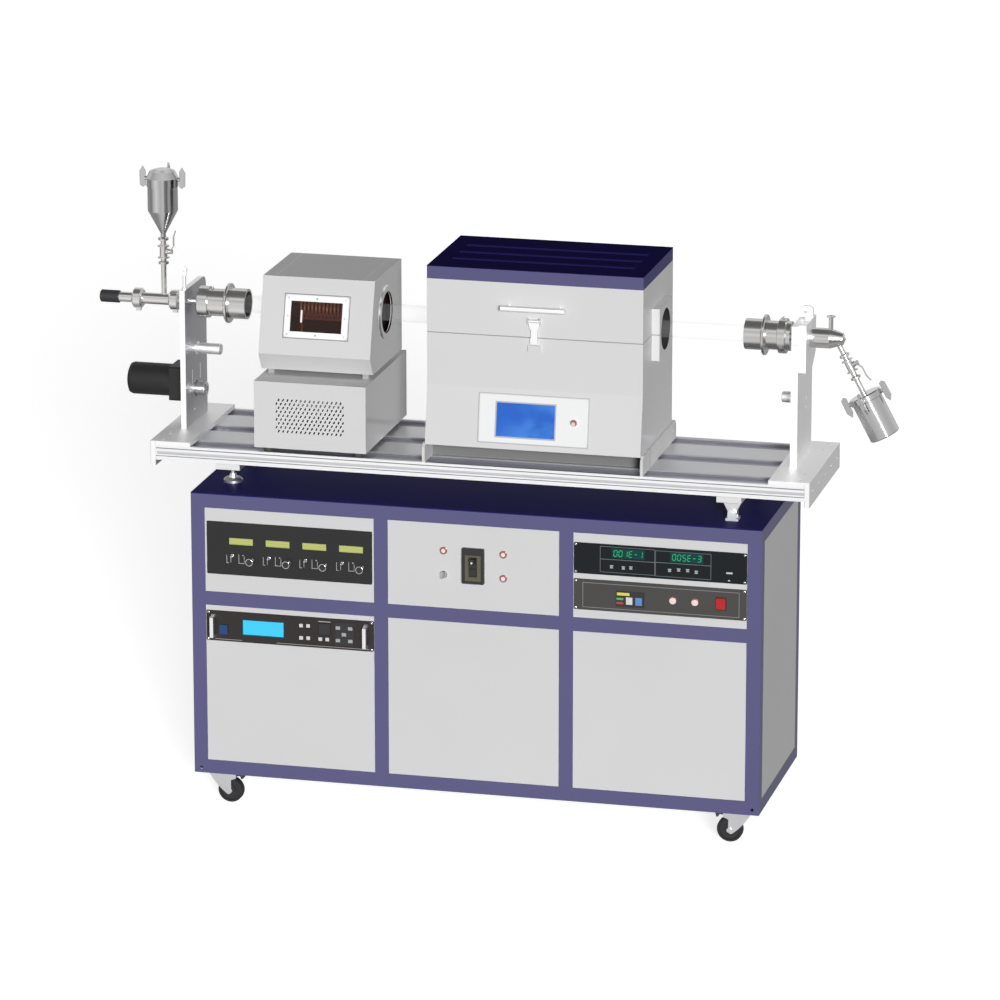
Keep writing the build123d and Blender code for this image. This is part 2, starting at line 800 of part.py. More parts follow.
# ================================================================ uprights
def upright_bore(x, dia):
    """Bores a plate across the tube's axis."""
    with Locations(along_x(x, axis_y, axis_z)):
        Cylinder(dia / 2, 200, mode=Mode.SUBTRACT)


front_y, back_y = axis_y - upright_front, axis_y + upright_back
shaft_axis = (upright_mid_y, drive_z - shaft_drop)
split_gap = 0.6
clamp_split = axis_z - 8
uprights = []
for side, x0, sheet in ((-1, left_upright_x, upright_sheet), (1, right_upright_x, upright_sheet + 4)):
    x1 = x0 + sheet
    with BuildPart() as upright:
        box_at(x0, x1, front_y, back_y, mount_plate_top, clamp_split)
        upright_bore(x0, feed_pipe_dia + 2 * running)
        if side < 0:
            with Locations(along_x(x0, *shaft_axis)):
                Cylinder(pulley_dia / 2 + 3, 200, mode=Mode.SUBTRACT)
            for slot_y in (-slot_spread, slot_spread):
                with BuildSketch(along_x(x0, upright_mid_y + slot_y, drive_z + 24)):
                    SlotOverall(46, 6, rotation=90)
                extrude(amount=sheet, mode=Mode.SUBTRACT)
            with Locations(along_x(x0, upright_mid_y - 20, drive_z - 77)):
                Cylinder(5, 200, mode=Mode.SUBTRACT)
        else:
            for hole_z in (right_stub_z - 4, right_stub_z - 29):
                with Locations(along_x(x0, upright_mid_y + 24, hole_z)):
                    Cylinder(4, 200, mode=Mode.SUBTRACT)
    uprights.append(upright)
    with BuildPart() as cap:
        box_at(x0, x1, front_y, back_y, clamp_split + split_gap, upright_top)
        fillet(cap.edges().filter_by(Axis.X).sort_by(Axis.Y)[-1], radius=upright_corner)
        upright_bore(x0, feed_pipe_dia + 2 * running)
    uprights.append(cap)
    with BuildPart() as stub:
        length = stub_length if side < 0 else right_stub_length
        start = x1 if side < 0 else x0
        turned_x([(start, 0), (start, stub_dia / 2 + 3), (start - side * 6, stub_dia / 2 + 3),
                  (start - side * 8, stub_dia / 2 - 2), (start - side * 14, stub_dia / 2 - 2),
                  (start - side * 15, stub_dia / 2), (start - side * (length - 2), stub_dia / 2),
                  (start - side * length, stub_dia / 2 - 2), (start - side * length, 0)],
                 y=upright_mid_y, z=stub_z if side < 0 else right_stub_z)
    uprights.append(stub)
with BuildPart() as clamp_screw:
    screw_x, screw_y = left_upright_x + upright_sheet / 2, front_y + 26
    turned_on(Plane((screw_x, screw_y, upright_top)), [
        (0, 0), (8, 0), (8, 4), (5, 5), (5, 40), (0, 40)])
    with BuildSketch(facing(screw_x, screw_y, 0)):
        with BuildLine():
            Polyline((-6, upright_top + 38), (6, upright_top + 38), (8.5, upright_top + 58),
                     (0, upright_top + 68), (-8.5, upright_top + 58), close=True)
        make_face()
        with Locations((0, upright_top + 54)):
            Circle(4.5, mode=Mode.SUBTRACT)
    extrude(amount=2.5, both=True)
uprights.append(clamp_screw)
block_x0 = right_upright_x + upright_sheet + 4
with BuildPart() as clamp_block:
    with BuildSketch(along_x(block_x0, 0, 0)):
        with BuildLine():
            Polyline((front_y, right_block_bottom), (block_back - 40, right_block_bottom),
                     (block_back, right_block_bottom + 32), (block_back, block_top),
                     (front_y, block_top), close=True)
        make_face()
    extrude(amount=right_block_sheet)
    upright_bore(block_x0, feed_pipe_dia + 2 * running)
uprights.append(clamp_block)
with BuildPart() as lifting_lug:
    with BuildSketch(facing(block_x0 + 2, lug_y, 0)):
        with Locations((0, block_top + lug_height / 2)):
            RectangleRounded(lug_width, lug_height, lug_width / 3)
        with Locations((0, block_top + lug_width / 6)):
            Rectangle(lug_width, lug_width / 3)
        with Locations((0, block_top + lug_height * 0.58)):
            SlotOverall(lug_width * 0.55, lug_eye, rotation=50, mode=Mode.SUBTRACT)
    extrude(amount=lug_sheet / 2, both=True)
uprights.append(lifting_lug)
save_group(uprights, "tube_uprights")


# ================================================================ process tube and its end flanges
left_plate_face = left_upright_x + upright_sheet
right_plate_face = right_upright_x
left_collar_x = left_plate_face + 24
right_collar_x = right_plate_face - 12
tube_seat = 34
tube_left = left_collar_x + 33
tube_right = right_collar_x - 42
tube_radius = tube_outer_dia / 2
with BuildPart() as process_tube:
    turned_x([(tube_left, tube_radius), (tube_right, tube_radius),
              (tube_right, tube_radius - tube_wall), (tube_left, tube_radius - tube_wall)])
save(process_tube, "process_tube")



def clamp_lugs(x, radius):
    """Three pointed set screws round a flange."""
    for angle in (90, 210, 330):
        out = (0, cos(radians(angle)), sin(radians(angle)))
        foot = (x, axis_y + (radius + 2) * out[1], axis_z + (radius + 2) * out[2])
        with Locations(Plane(origin=foot, z_dir=out)):
            Cone(6, 3, 8)


seat_radius = tube_radius + tube_seat_gap
journal_bore = journal_dia / 2 + running
sleeve = sleeve_dia / 2
mouth = sleeve_bore / 2
neck = neck_dia / 2
left_mouth_x = left_collar_x + 144
ring_x = left_collar_x + 84
flanges = []
with BuildPart() as left_flange:
    turned_x([
        (left_collar_x, journal_bore), (left_collar_x, collar_dia / 2 - 2),
        (left_collar_x + 2, collar_dia / 2),
        (left_collar_x + 31, collar_dia / 2), (left_collar_x + 31, neck), (ring_x, neck),
        (ring_x, ring_dia / 2 - 2), (ring_x + 2, ring_dia / 2), (ring_x + ring_width - 2, ring_dia / 2),
        (ring_x + ring_width, ring_dia / 2 - 2), (ring_x + ring_width, sleeve), (left_mouth_x, sleeve),
        (left_mouth_x, mouth), (tube_left + tube_seat, mouth), (tube_left + tube_seat, seat_radius),
        (tube_left, seat_radius), (tube_left, journal_bore)])
    clamp_lugs(left_collar_x + 38, neck)
flanges.append(left_flange)
right_mouth_x = right_collar_x - 131
right_ring_x = right_collar_x - 80
right_step = right_ring_x + ring_width
with BuildPart() as right_flange:
    turned_x([
        (right_collar_x, journal_bore), (right_collar_x, sleeve - 2), (right_collar_x - 12, sleeve - 2),
        (right_collar_x - 14, 50), (right_collar_x - 34, 50), (right_collar_x - 38, sleeve - 3),
        (right_step, sleeve - 3), (right_step, ring_dia / 2 - 2), (right_step - 2, ring_dia / 2),
        (right_ring_x + 2, ring_dia / 2), (right_ring_x, ring_dia / 2 - 2), (right_ring_x, sleeve),
        (right_mouth_x, sleeve), (right_mouth_x, mouth), (tube_right - tube_seat, mouth),
        (tube_right - tube_seat, seat_radius), (tube_right, seat_radius), (tube_right, journal_bore)])
    clamp_lugs(right_collar_x - 24, sleeve_dia / 2 + 5.5)
flanges.append(right_flange)
save_group(flanges, "tube_flanges")


# ================================================================ split furnace
furnace_right = furnace_left + furnace_length
split_low = axis_z - slip / 2
split_high = axis_z + slip / 2
inner_left = furnace_left + casing_sheet
inner_right = furnace_right - casing_sheet
insulation_half = 115
insulation_depth = 125
insulation_front = axis_y - insulation_half
insulation_back = axis_y + insulation_half
lean = atan2(furnace_front - furnace_foot_front, furnace_crease - furnace_bottom)
hinge_y = furnace_back + lid_hinge_gap
hinge_xs = [furnace_left + 120, furnace_right - 120]


def chamber_cut():
    """Cuts the round chamber and the way for the tube."""
    with Locations(along_x(furnace_mid, axis_y, axis_z)):
        Cylinder(chamber_dia / 2, furnace_length * 2, mode=Mode.SUBTRACT)


def end_sheets(outline):
    """The two end plates of a casing, each with its half of the tube hole."""
    for start in (furnace_left, inner_right):
        with BuildPart() as sheet:
            with BuildSketch(along_x(start, 0, 0)):
                with BuildLine():
                    Polyline(*outline, close=True)
                make_face()
            extrude(amount=casing_sheet)
            chamber_cut()
        yield sheet


def ears(low, high):
    """The blocks round the tube hole that stand out of both ends of a casing."""
    for start in (furnace_left - ear_reach, furnace_right):
        with BuildPart() as ear:
            box_at(start, start + ear_reach, axis_y - ear_width / 2, axis_y + ear_width / 2, low, high)
            chamber_cut()
        yield ear


def strip(y0, y1, z0, z1):
    """A flat sheet of a casing that runs between its end plates."""
    with BuildPart() as sheet:
        box_at(inner_left, inner_right, y0, y1, z0, z1)
    return sheet


def knuckle(x, length, leaf_low, leaf_high):
    """One knuckle of a lid hinge with its leaf on the back of the casing."""
    with BuildPart() as piece:
        with Locations(along_x(x, hinge_y, axis_z)):
            Cylinder(lid_knuckle_dia / 2, length)
        box_at(x - length / 2, x + length / 2, furnace_back, hinge_y - 2, leaf_low, leaf_high)
        with Locations(along_x(x, hinge_y, axis_z)):
            Cylinder(lid_pin_dia / 2 + running, length * 2, mode=Mode.SUBTRACT)
    return piece


body_outline = [(furnace_foot_front, furnace_bottom), (furnace_front, furnace_crease),
                (furnace_front, split_low), (furnace_back, split_low), (furnace_back, furnace_bottom)]
slant_sheet = casing_sheet / cos(lean)
body_pieces = list(end_sheets(body_outline))
with BuildPart() as front_sheet:
    with BuildSketch(along_x(inner_left, 0, 0)):
        with BuildLine():
            Polyline((furnace_foot_front, furnace_bottom), (furnace_front, furnace_crease),
                     (furnace_front, split_low), (furnace_front + casing_sheet, split_low),
                     (furnace_front + casing_sheet, furnace_crease),
                     (furnace_foot_front + slant_sheet, furnace_bottom), close=True)
        make_face()
    extrude(amount=inner_right - inner_left)
panel_origin = ((furnace_front + furnace_foot_front) / 2, (furnace_crease + furnace_bottom) / 2)
panel_plane = Plane(origin=(furnace_mid, *panel_origin), x_dir=(1, 0, 0),
                    z_dir=(0, -cos(lean), sin(lean)))
button_cap_dia = panel_button_dia - 4
with front_sheet:
    with Locations(panel_plane):
        with Locations((panel_button_offset, 0)):
            Cylinder(button_cap_dia / 2 + slip, casing_sheet * 4, mode=Mode.SUBTRACT)
body_pieces.append(front_sheet)
body_pieces.append(strip(furnace_back - casing_sheet, furnace_back, furnace_bottom, split_low))
body_pieces.append(strip(furnace_foot_front + 2 * casing_sheet, furnace_back - casing_sheet,
                         furnace_bottom, furnace_bottom + casing_sheet))
body_pieces.append(strip(furnace_front + casing_sheet, insulation_front, split_low - casing_sheet, split_low))
body_pieces.append(strip(insulation_back, furnace_back - casing_sheet, split_low - casing_sheet, split_low))
body_pieces.extend(ears(axis_z - ear_height, split_low))
for x in hinge_xs:
    for way in (-1, 1):
        body_pieces.append(knuckle(x + way * (knuckle_length + slip), knuckle_length,
                                   axis_z - 22, axis_z - 1))
    with BuildPart() as hinge_pin:
        with Locations(along_x(x, hinge_y, axis_z)):
            Cylinder(lid_pin_dia / 2, 3 * knuckle_length + 4)
    body_pieces.append(hinge_pin)
with BuildPart() as keeper:
    keeper_top = latch_z - latch_drop - 4
    box_at(furnace_mid - latch_width / 2 - 3, furnace_mid + latch_width / 2 + 3,
           furnace_front - 7, furnace_front, keeper_top - 18, keeper_top)
    fillet(keeper.edges().filter_by(Axis.Y), radius=2)
body_pieces.append(keeper)
save_group(body_pieces, "furnace_body")

lid_outline = [(furnace_front, split_high), (furnace_front, lid_cover_bottom),
               (furnace_back, lid_cover_bottom), (furnace_back, split_high)]
lid_pieces = list(end_sheets(lid_outline))
lid_top = lid_cover_bottom - casing_sheet
lid_pieces.append(strip(furnace_front, furnace_front + casing_sheet, split_high, lid_cover_bottom))
lid_pieces.append(strip(furnace_back - casing_sheet, furnace_back, split_high, lid_cover_bottom))
lid_pieces.append(strip(furnace_front + casing_sheet, furnace_back - casing_sheet, lid_top, lid_cover_bottom))
lid_pieces.append(strip(furnace_front + casing_sheet, insulation_front, split_high,
                  split_high + casing_sheet))
lid_pieces.append(strip(insulation_back, furnace_back - casing_sheet, split_high, split_high + casing_sheet))
lid_pieces.extend(ears(split_high, axis_z + ear_height))
for x in hinge_xs:
    lid_pieces.append(knuckle(x, knuckle_length, axis_z + 1, axis_z + 22))
latch_pivot_y = furnace_front - 6
with BuildPart() as latch_seat:
    for side in (-1, 1):
        start = furnace_mid + side * (latch_width / 2 + slip)
        box_at(min(start, start + side * 3), max(start, start + side * 3),
               latch_pivot_y - 5, furnace_front, latch_z - 8, latch_z + 8)
    with Locations(along_x(furnace_mid, latch_pivot_y, latch_z)):
        Cylinder(2, latch_width + 6)
lid_pieces.append(latch_seat)
save_group(lid_pieces, "lid_shell")

with BuildPart() as latch_lever:
    with BuildSketch(facing(furnace_mid, latch_pivot_y, 0)):
        with BuildLine():
            half = latch_width / 2
            Polyline((-half, latch_z), (-half, latch_z - 14), (-half * 0.55, latch_z - 26),
                     (-half * 0.7, latch_z - latch_drop), (half * 0.7, latch_z - latch_drop),
                     (half * 0.55, latch_z - 26), (half, latch_z - 14), (half, latch_z), close=True)
        make_face()
    extrude(amount=2, both=True)
    with Locations(along_x(furnace_mid, latch_pivot_y, latch_z)):
        Cylinder(4.5, latch_width)
        Cylinder(2 + running, latch_width * 2, mode=Mode.SUBTRACT)
    with Locations(facing(furnace_mid, latch_pivot_y - 3, latch_z - latch_drop + 10)):
        Box(latch_width * 0.7, 14, 3)
save(latch_lever, "latch_lever")

with BuildPart() as lid_cover:
    box_at(furnace_left, furnace_right, furnace_front, furnace_back, lid_cover_bottom, lid_cover_top)
    fillet(lid_cover.edges().filter_by(Axis.Z), radius=2)
    box_at(furnace_left + casing_sheet, furnace_right - casing_sheet, furnace_front + casing_sheet,
           furnace_back - casing_sheet, lid_cover_bottom, lid_cover_top - casing_sheet, mode=Mode.SUBTRACT)
    rib_length, rib_width, rib_height = furnace_length - 90, 34, 4
    with BuildSketch(Plane((furnace_mid, (furnace_front + furnace_back) / 2, lid_cover_top))):
        with GridLocations(0, 84, 1, 3):
            RectangleRounded(rib_length, rib_width, 8)
    extrude(amount=rib_height, taper=45)
save(lid_cover, "lid_cover")

with BuildPart() as lid_handle:
    bar_y = furnace_front - lid_handle_reach
    with BuildSketch(along_x(furnace_mid - lid_handle_length / 2, bar_y, lid_handle_z)):
        RectangleRounded(9, 13, 3)
    extrude(amount=lid_handle_length)
    for side in (-1, 1):
        with Locations(facing(furnace_mid + side * (lid_handle_length / 2 - 18),
                              (bar_y + furnace_front) / 2, lid_handle_z)):
            Cylinder(5, lid_handle_reach)
save(lid_handle, "lid_handle")


def lining(name, low, high, first_angle, with_rods):
    """Half of the fibre lining; its heating rods lie half sunk in the chamber wall."""
    angles = [first_angle + (i + 0.5) * 180 / rods_per_half for i in range(rods_per_half)]
    spots = [(axis_y + chamber_dia / 2 * cos(radians(a)), axis_z + chamber_dia / 2 * sin(radians(a)))
             for a in angles]
    with BuildPart() as block:
        box_at(inner_left, inner_right, insulation_front, insulation_back, low, high)
        chamber_cut()
        for y, z in spots:
            with Locations(along_x(furnace_mid, y, z)):
                Cylinder(rod_dia / 2 + tube_seat_gap, furnace_length * 2, mode=Mode.SUBTRACT)
    rods = []
    for y, z in spots:
        with BuildPart() as rod:
            with Locations(along_x(furnace_mid, y, z)):
                Cylinder(rod_dia / 2, inner_right - inner_left - 2)
        rods.append(rod)
    save_group([block] + rods if with_rods else [block], name)
    return rods


lower_rods = lining("furnace_insulation", axis_z - insulation_depth, split_low, 180, False)
save_group(lower_rods, "heating_elements")
lining("lid_insulation", split_high, axis_z + insulation_depth, 0, True)

plinth_pieces = []
with BuildPart() as plinth:
    box_at(furnace_left, furnace_right, furnace_foot_front + plinth_setback, platform_back - 20,
           rail_top, furnace_bottom)
    box_at(furnace_left + plinth_sheet, furnace_right - plinth_sheet,
           furnace_foot_front + plinth_setback + plinth_sheet, platform_back - 20 - plinth_sheet,
           rail_top, furnace_bottom - plinth_sheet, mode=Mode.SUBTRACT)
plinth_pieces.append(plinth)
for start in (furnace_left - side_plate_sheet, furnace_right):
    with BuildPart() as side_plate:
        with BuildSketch(along_x(start, 0, 0)):
            with BuildLine():
                Polyline((platform_front, rail_top), (platform_front, rail_top + 44),
                         (platform_front + 14, furnace_bottom + 2), (platform_back - 26, furnace_bottom + 2),
                         (platform_back - 12, furnace_bottom - 12),
                         (platform_back - 12, rail_top), close=True)
            make_face()
            with Locations((platform_back - 60, furnace_bottom - 22), (axis_y + 20, rail_top + 22)):
                Circle(3, mode=Mode.SUBTRACT)
        extrude(amount=side_plate_sheet)
    plinth_pieces.append(side_plate)
save_group(plinth_pieces, "furnace_plinth")

with BuildPart() as control_panel:
    with BuildSketch(panel_plane):
        RectangleRounded(panel_plate_width, panel_plate_height, 3)
    extrude(amount=panel_plate_sheet)
    with BuildSketch(panel_plane.offset(panel_plate_sheet)):
        with Locations((panel_screen_offset, 0)):
            Rectangle(panel_screen_width, panel_screen_height)
    extrude(amount=-1, mode=Mode.SUBTRACT)
    with BuildSketch(panel_plane.offset(panel_plate_sheet)):
        with Locations((panel_button_offset, 0)):
            Circle(panel_button_dia / 2 + 2)
    extrude(amount=2)
    with Locations(panel_plane):
        with Locations((panel_button_offset, 0)):
            Cylinder(button_cap_dia / 2 + slip, 30, mode=Mode.SUBTRACT)
save(control_panel, "control_panel")

with BuildPart() as furnace_button:
    button_plane = Plane(origin=panel_plane.from_local_coords((panel_button_offset, 0, 0)),
                         x_dir=(1, 0, 0), z_dir=panel_plane.z_dir)
    turned_on(button_plane, [
        (0, -8), (button_cap_dia / 2, -8), (button_cap_dia / 2, 8), (button_cap_dia / 2 - 1.5, 9.5),
        (0, 9.5)])
save(furnace_button, "furnace_button")


# ================================================================ plasma box
plasma_right = plasma_left + plasma_length
box_outline = [(-140, 1551), (150, 1551), (150, 1285), (-168, 1285), (-200, 1337)]
box_floor = 1285
slope_low, slope_high = box_outline[4], box_outline[0]
slope = atan2(slope_high[0] - slope_low[0], slope_high[1] - slope_low[1])
window_plane = Plane(origin=(plasma_mid, (slope_low[0] + slope_high[0]) / 2,
                             (slope_low[1] + slope_high[1]) / 2),
                     x_dir=(1, 0, 0), z_dir=(0, -cos(slope), sin(slope)))


def port_cut():
    """Cuts the round ports for the tube."""
    with Locations(along_x(plasma_mid, axis_y, axis_z)):
        Cylinder(plasma_port_dia / 2, plasma_length * 2, mode=Mode.SUBTRACT)


housing_pieces = []
with BuildPart() as wrapper:
    with BuildSketch(along_x(plasma_left + plasma_sheet, 0, 0)):
        with BuildLine():
            Polyline(*box_outline, close=True)
        make_face()
        offset(amount=-plasma_sheet, kind=Kind.INTERSECTION, mode=Mode.SUBTRACT)
    extrude(amount=plasma_length - 2 * plasma_sheet)
    with BuildSketch(window_plane):
        Rectangle(window_glass_width, window_glass_height)
    extrude(amount=plasma_sheet * 3, both=True, mode=Mode.SUBTRACT)
housing_pieces.append(wrapper)
for side, start in ((-1, plasma_left), (1, plasma_right - plasma_sheet)):
    with BuildPart() as end_sheet:
        with BuildSketch(along_x(start, 0, 0)):
            with BuildLine():
                Polyline(*box_outline, close=True)
            make_face()
        extrude(amount=plasma_sheet)
        ring_face = plasma_left if side < 0 else plasma_right
        ring_edge = ring_face + side * plasma_ring_reach
        turned_x([(ring_face, 0), (ring_face, plasma_ring_dia / 2), (ring_edge, plasma_ring_dia / 2 - 3),
                  (ring_edge, 0)])
        port_cut()
    housing_pieces.append(end_sheet)
for x in (plasma_left + post_inset, plasma_right - post_inset):
    for y in (axis_y - 120, axis_y + 130):
        with BuildPart() as post:
            box_at(x - plasma_post / 2, x + plasma_post / 2, y - plasma_post / 2, y + plasma_post / 2,
                   plasma_base_top, box_floor)
        housing_pieces.append(post)
save_group(housing_pieces, "plasma_housing")

with BuildPart() as window_frame:
    with BuildSketch(window_plane):
        RectangleRounded(window_width, window_height, 12)
        Rectangle(window_glass_width, window_glass_height, mode=Mode.SUBTRACT)
    extrude(amount=3)
    with BuildSketch(window_plane.offset(3)):
        with GridLocations(window_width - 14, window_height - 14, 2, 2):
            Circle(3)
        with GridLocations(window_width - 14, 0, 2, 1):
            Circle(3)
    extrude(amount=1.2)
save(window_frame, "window_frame")

with BuildPart() as window_glass:
    with BuildSketch(window_plane):
        Rectangle(window_glass_width - slip, window_glass_height - slip)
    extrude(amount=2)
save(window_glass, "window_glass")

coil_radius = coil_dia / 2
coil_start = plasma_mid + coil_shift - coil_turns * coil_pitch / 2
coil_plane = Plane(origin=(coil_start, axis_y, axis_z), x_dir=(0, 0, -1), z_dir=(1, 0, 0))
winding = coil_plane.location * Edge.make_helix(coil_pitch, coil_turns * coil_pitch, coil_radius)
with BuildPart() as rf_coil:
    with BuildSketch(Plane(origin=winding @ 0, z_dir=winding % 0)):
        Circle(coil_wire / 2)
    sweep(path=winding)
    for x in (coil_start, coil_start + coil_turns * coil_pitch):
        box_bottom = box_floor + plasma_sheet
        with Locations((x, axis_y, (axis_z - coil_radius + box_bottom) / 2)):
            Cylinder(coil_wire / 2, axis_z - coil_radius - box_bottom)
save(rf_coil, "rf_coil")

base_left = plasma_mid - plasma_base_length / 2
base_right = base_left + plasma_base_length
base_pieces = []
with BuildPart() as vent_sheet:
    box_at(base_left, base_right, platform_front, platform_front + plasma_sheet,
           plasma_base_bottom, plasma_base_top)
    for row in range(vent_rows):
        columns = vent_columns - 1 + row % 2
        row_z = vent_z + (row - (vent_rows - 1) / 2) * vent_pitch_z
        with BuildSketch(facing(plasma_mid, platform_front, row_z)):
            with GridLocations(vent_pitch_x, 0, columns, 1):
                Rectangle(vent_slot, vent_slot * 1.9, rotation=-28)
        extrude(amount=-plasma_sheet, mode=Mode.SUBTRACT)
base_pieces.append(vent_sheet)
inside_front = platform_front + plasma_sheet
for x0, x1, y0, y1, z0, z1 in (
        (base_left, base_left + plasma_sheet, inside_front, platform_back, plasma_base_bottom,
         plasma_base_top),
        (base_right - plasma_sheet, base_right, inside_front, platform_back, plasma_base_bottom,
         plasma_base_top),
        (base_left + plasma_sheet, base_right - plasma_sheet, platform_back - plasma_sheet, platform_back,
         plasma_base_bottom, plasma_base_top),
        (base_left + plasma_sheet, base_right - plasma_sheet, inside_front, platform_back - plasma_sheet,
         plasma_base_top - plasma_sheet, plasma_base_top),
        (base_left + plasma_sheet, base_right - plasma_sheet, inside_front, platform_back - plasma_sheet,
         plasma_base_bottom, plasma_base_bottom + plasma_sheet)):
    with BuildPart() as base_sheet:
        box_at(x0, x1, y0, y1, z0, z1)
    base_pieces.append(base_sheet)
foot_bottom = rail_top - channel_depth
for x in (base_left + 32, base_right - 32):
    for y in (platform_front + 36, platform_back - 36):
        with BuildPart() as rubber_foot:
            with Locations((x, y, (foot_bottom + plasma_base_bottom) / 2)):
                Cylinder(13, plasma_base_bottom - foot_bottom)
        base_pieces.append(rubber_foot)
save_group(base_pieces, "plasma_base")


# ================================================================ drive
gearbox_x = left_upright_x - gearbox_length - 18
shaft_reach = 30
drive_pieces = []
with BuildPart() as motor:
    turned_x([(gearbox_x - motor_length, 0), (gearbox_x - motor_length, motor_dia / 2 - 12),
              (gearbox_x - motor_length + 4, motor_dia / 2 - 3),
              (gearbox_x - motor_length + 12, motor_dia / 2),
              (gearbox_x, motor_dia / 2), (gearbox_x, 0)], y=upright_mid_y, z=drive_z)
drive_pieces.append(motor)
with BuildPart() as gearbox:
    box_at(gearbox_x, left_upright_x, upright_mid_y - gearbox_size / 2, upright_mid_y + gearbox_size / 2,
           drive_z - gearbox_size / 2, drive_z + gearbox_size / 2)
    fillet(gearbox.edges().filter_by(Axis.X), radius=8)
    with Locations(along_x(left_upright_x - shaft_reach / 2, *shaft_axis)):
        Cylinder(motor_shaft_dia / 2 + running, shaft_reach, mode=Mode.SUBTRACT)
drive_pieces.append(gearbox)
save_group(drive_pieces, "drive_motor")

with BuildPart() as motor_pulley:
    boss_start = left_upright_x + 3
    boss_end = left_plate_face + pulley_reach
    turned_x([(left_upright_x - shaft_reach + 1, 0), (left_upright_x - shaft_reach + 1, motor_shaft_dia / 2),
              (boss_start, motor_shaft_dia / 2), (boss_start, pulley_dia / 2), (boss_end - 2, pulley_dia / 2),
              (boss_end, pulley_dia / 2 - 2), (boss_end, 8), (boss_end - 6, 8), (boss_end - 6, 0)],
             y=shaft_axis[0], z=shaft_axis[1])
save(motor_pulley, "motor_pulley")


# ================================================================ powder feed
pipe_radius = feed_pipe_dia / 2
feed_pieces = []
with BuildPart() as feed_line:
    cap_end = feed_end_x + feed_cap_length
    clamp_1, clamp_2 = feed_x - 92, feed_x + 18
    clamp_r = kf_clamp_dia / 2
    turned_x([
        (cap_end, 0), (cap_end, 14.5), (clamp_1, 14.5), (clamp_1, clamp_r - 6), (clamp_1 + 5, clamp_r),
        (clamp_1 + 25, clamp_r), (clamp_1 + 30, clamp_r - 6), (clamp_1 + 30, 16.5), (clamp_2, 16.5),
        (clamp_2, clamp_r - 6), (clamp_2 + 5, clamp_r), (clamp_2 + 25, clamp_r), (clamp_2 + 30, clamp_r - 6),
        (clamp_2 + 30, pipe_radius), (left_collar_x + 30, pipe_radius), (left_collar_x + 30, 0)])
    for clamp_x in (clamp_1, clamp_2):
        with Locations((clamp_x + 15, axis_y, axis_z - clamp_r - 2)):
            Box(14, 11, 12)
    turned_on(Plane((feed_x, axis_y, 0)), [
        (0, axis_z), (small_pipe_dia / 2, axis_z), (small_pipe_dia / 2, axis_z + 102),
        (kf_flange_dia / 2, axis_z + 105), (kf_flange_dia / 2, axis_z + 108), (0, axis_z + 108)])
feed_pieces.append(feed_line)
with BuildPart() as end_cap:
    turned_x([(feed_end_x, 0), (feed_end_x, feed_cap_dia / 2 - 3), (feed_end_x + 3, feed_cap_dia / 2),
              (cap_end, feed_cap_dia / 2), (cap_end, 0)])
feed_pieces.append(end_cap)


def ball_valve(place, start, side):
    """A ball valve between two flanges on the z of place; its stem boss points along side."""
    wide = kf_flange_dia / 2 + 2
    narrow = small_pipe_dia / 2 + 0.5
    valve_stem = start + 33
    with BuildPart() as valve:
        turned_on(place, [
            (0, start), (kf_flange_dia / 2, start), (kf_flange_dia / 2, start + 3), (narrow, start + 6),
            (narrow, start + 12), (wide, start + 14), (wide, start + 17), (11, start + 18), (11, start + 47),
            (wide, start + 48), (wide, start + 51), (narrow, start + 53), (narrow, start + 64),
            (kf_flange_dia / 2, start + 67), (kf_flange_dia / 2, start + 70), (0, start + 70)])
        stem = Plane(origin=place.from_local_coords((0, 0, valve_stem)), x_dir=place.z_dir, z_dir=side)
        turned_on(stem, [(0, 0), (8, 0), (8, 18), (0, 18)])
        turned_on(stem, [(0, 8), (valve_stem_dia / 2 + running, 8), (valve_stem_dia / 2 + running, 18),
                         (0, 18)], mode=Mode.SUBTRACT)
    return valve, stem


valve_stem_dia = 7
valve_start = axis_z + 108
feed_place = Plane((feed_x, axis_y, 0))
feed_valve, feed_stem = ball_valve(feed_place, valve_start, (1, 0, 0))
feed_pieces.append(feed_valve)
save_group(feed_pieces, "feed_pipe")


def valve_lever(stem, name):
    """The bent handle of a ball valve, lying along the pipe when the valve is open."""
    with BuildPart() as lever:
        with Locations(stem):
            with Locations((0, 0, 17)):
                Cylinder(valve_stem_dia / 2, 16)
            with Locations((0, 0, 24)):
                Cylinder(7, 5)
        side = Plane(origin=stem.origin, x_dir=stem.x_dir, z_dir=stem.y_dir)
        sign = 1 if side.y_dir.dot(stem.z_dir) > 0 else -1
        with BuildSketch(side) as strip_face:
            with BuildLine():
                Polyline((-4, sign * 22), (8, sign * 22), (18, sign * 29), (44, sign * 29), (62, sign * 35),
                         (62, sign * 37.5), (43, sign * 31.5), (17, sign * 31.5), (7, sign * 24.5),
                         (-4, sign * 24.5), close=True)
            make_face()
        extrude(strip_face.sketch, amount=4.5, both=True)
    save(lever, name)


valve_lever(feed_stem, "feed_valve_lever")


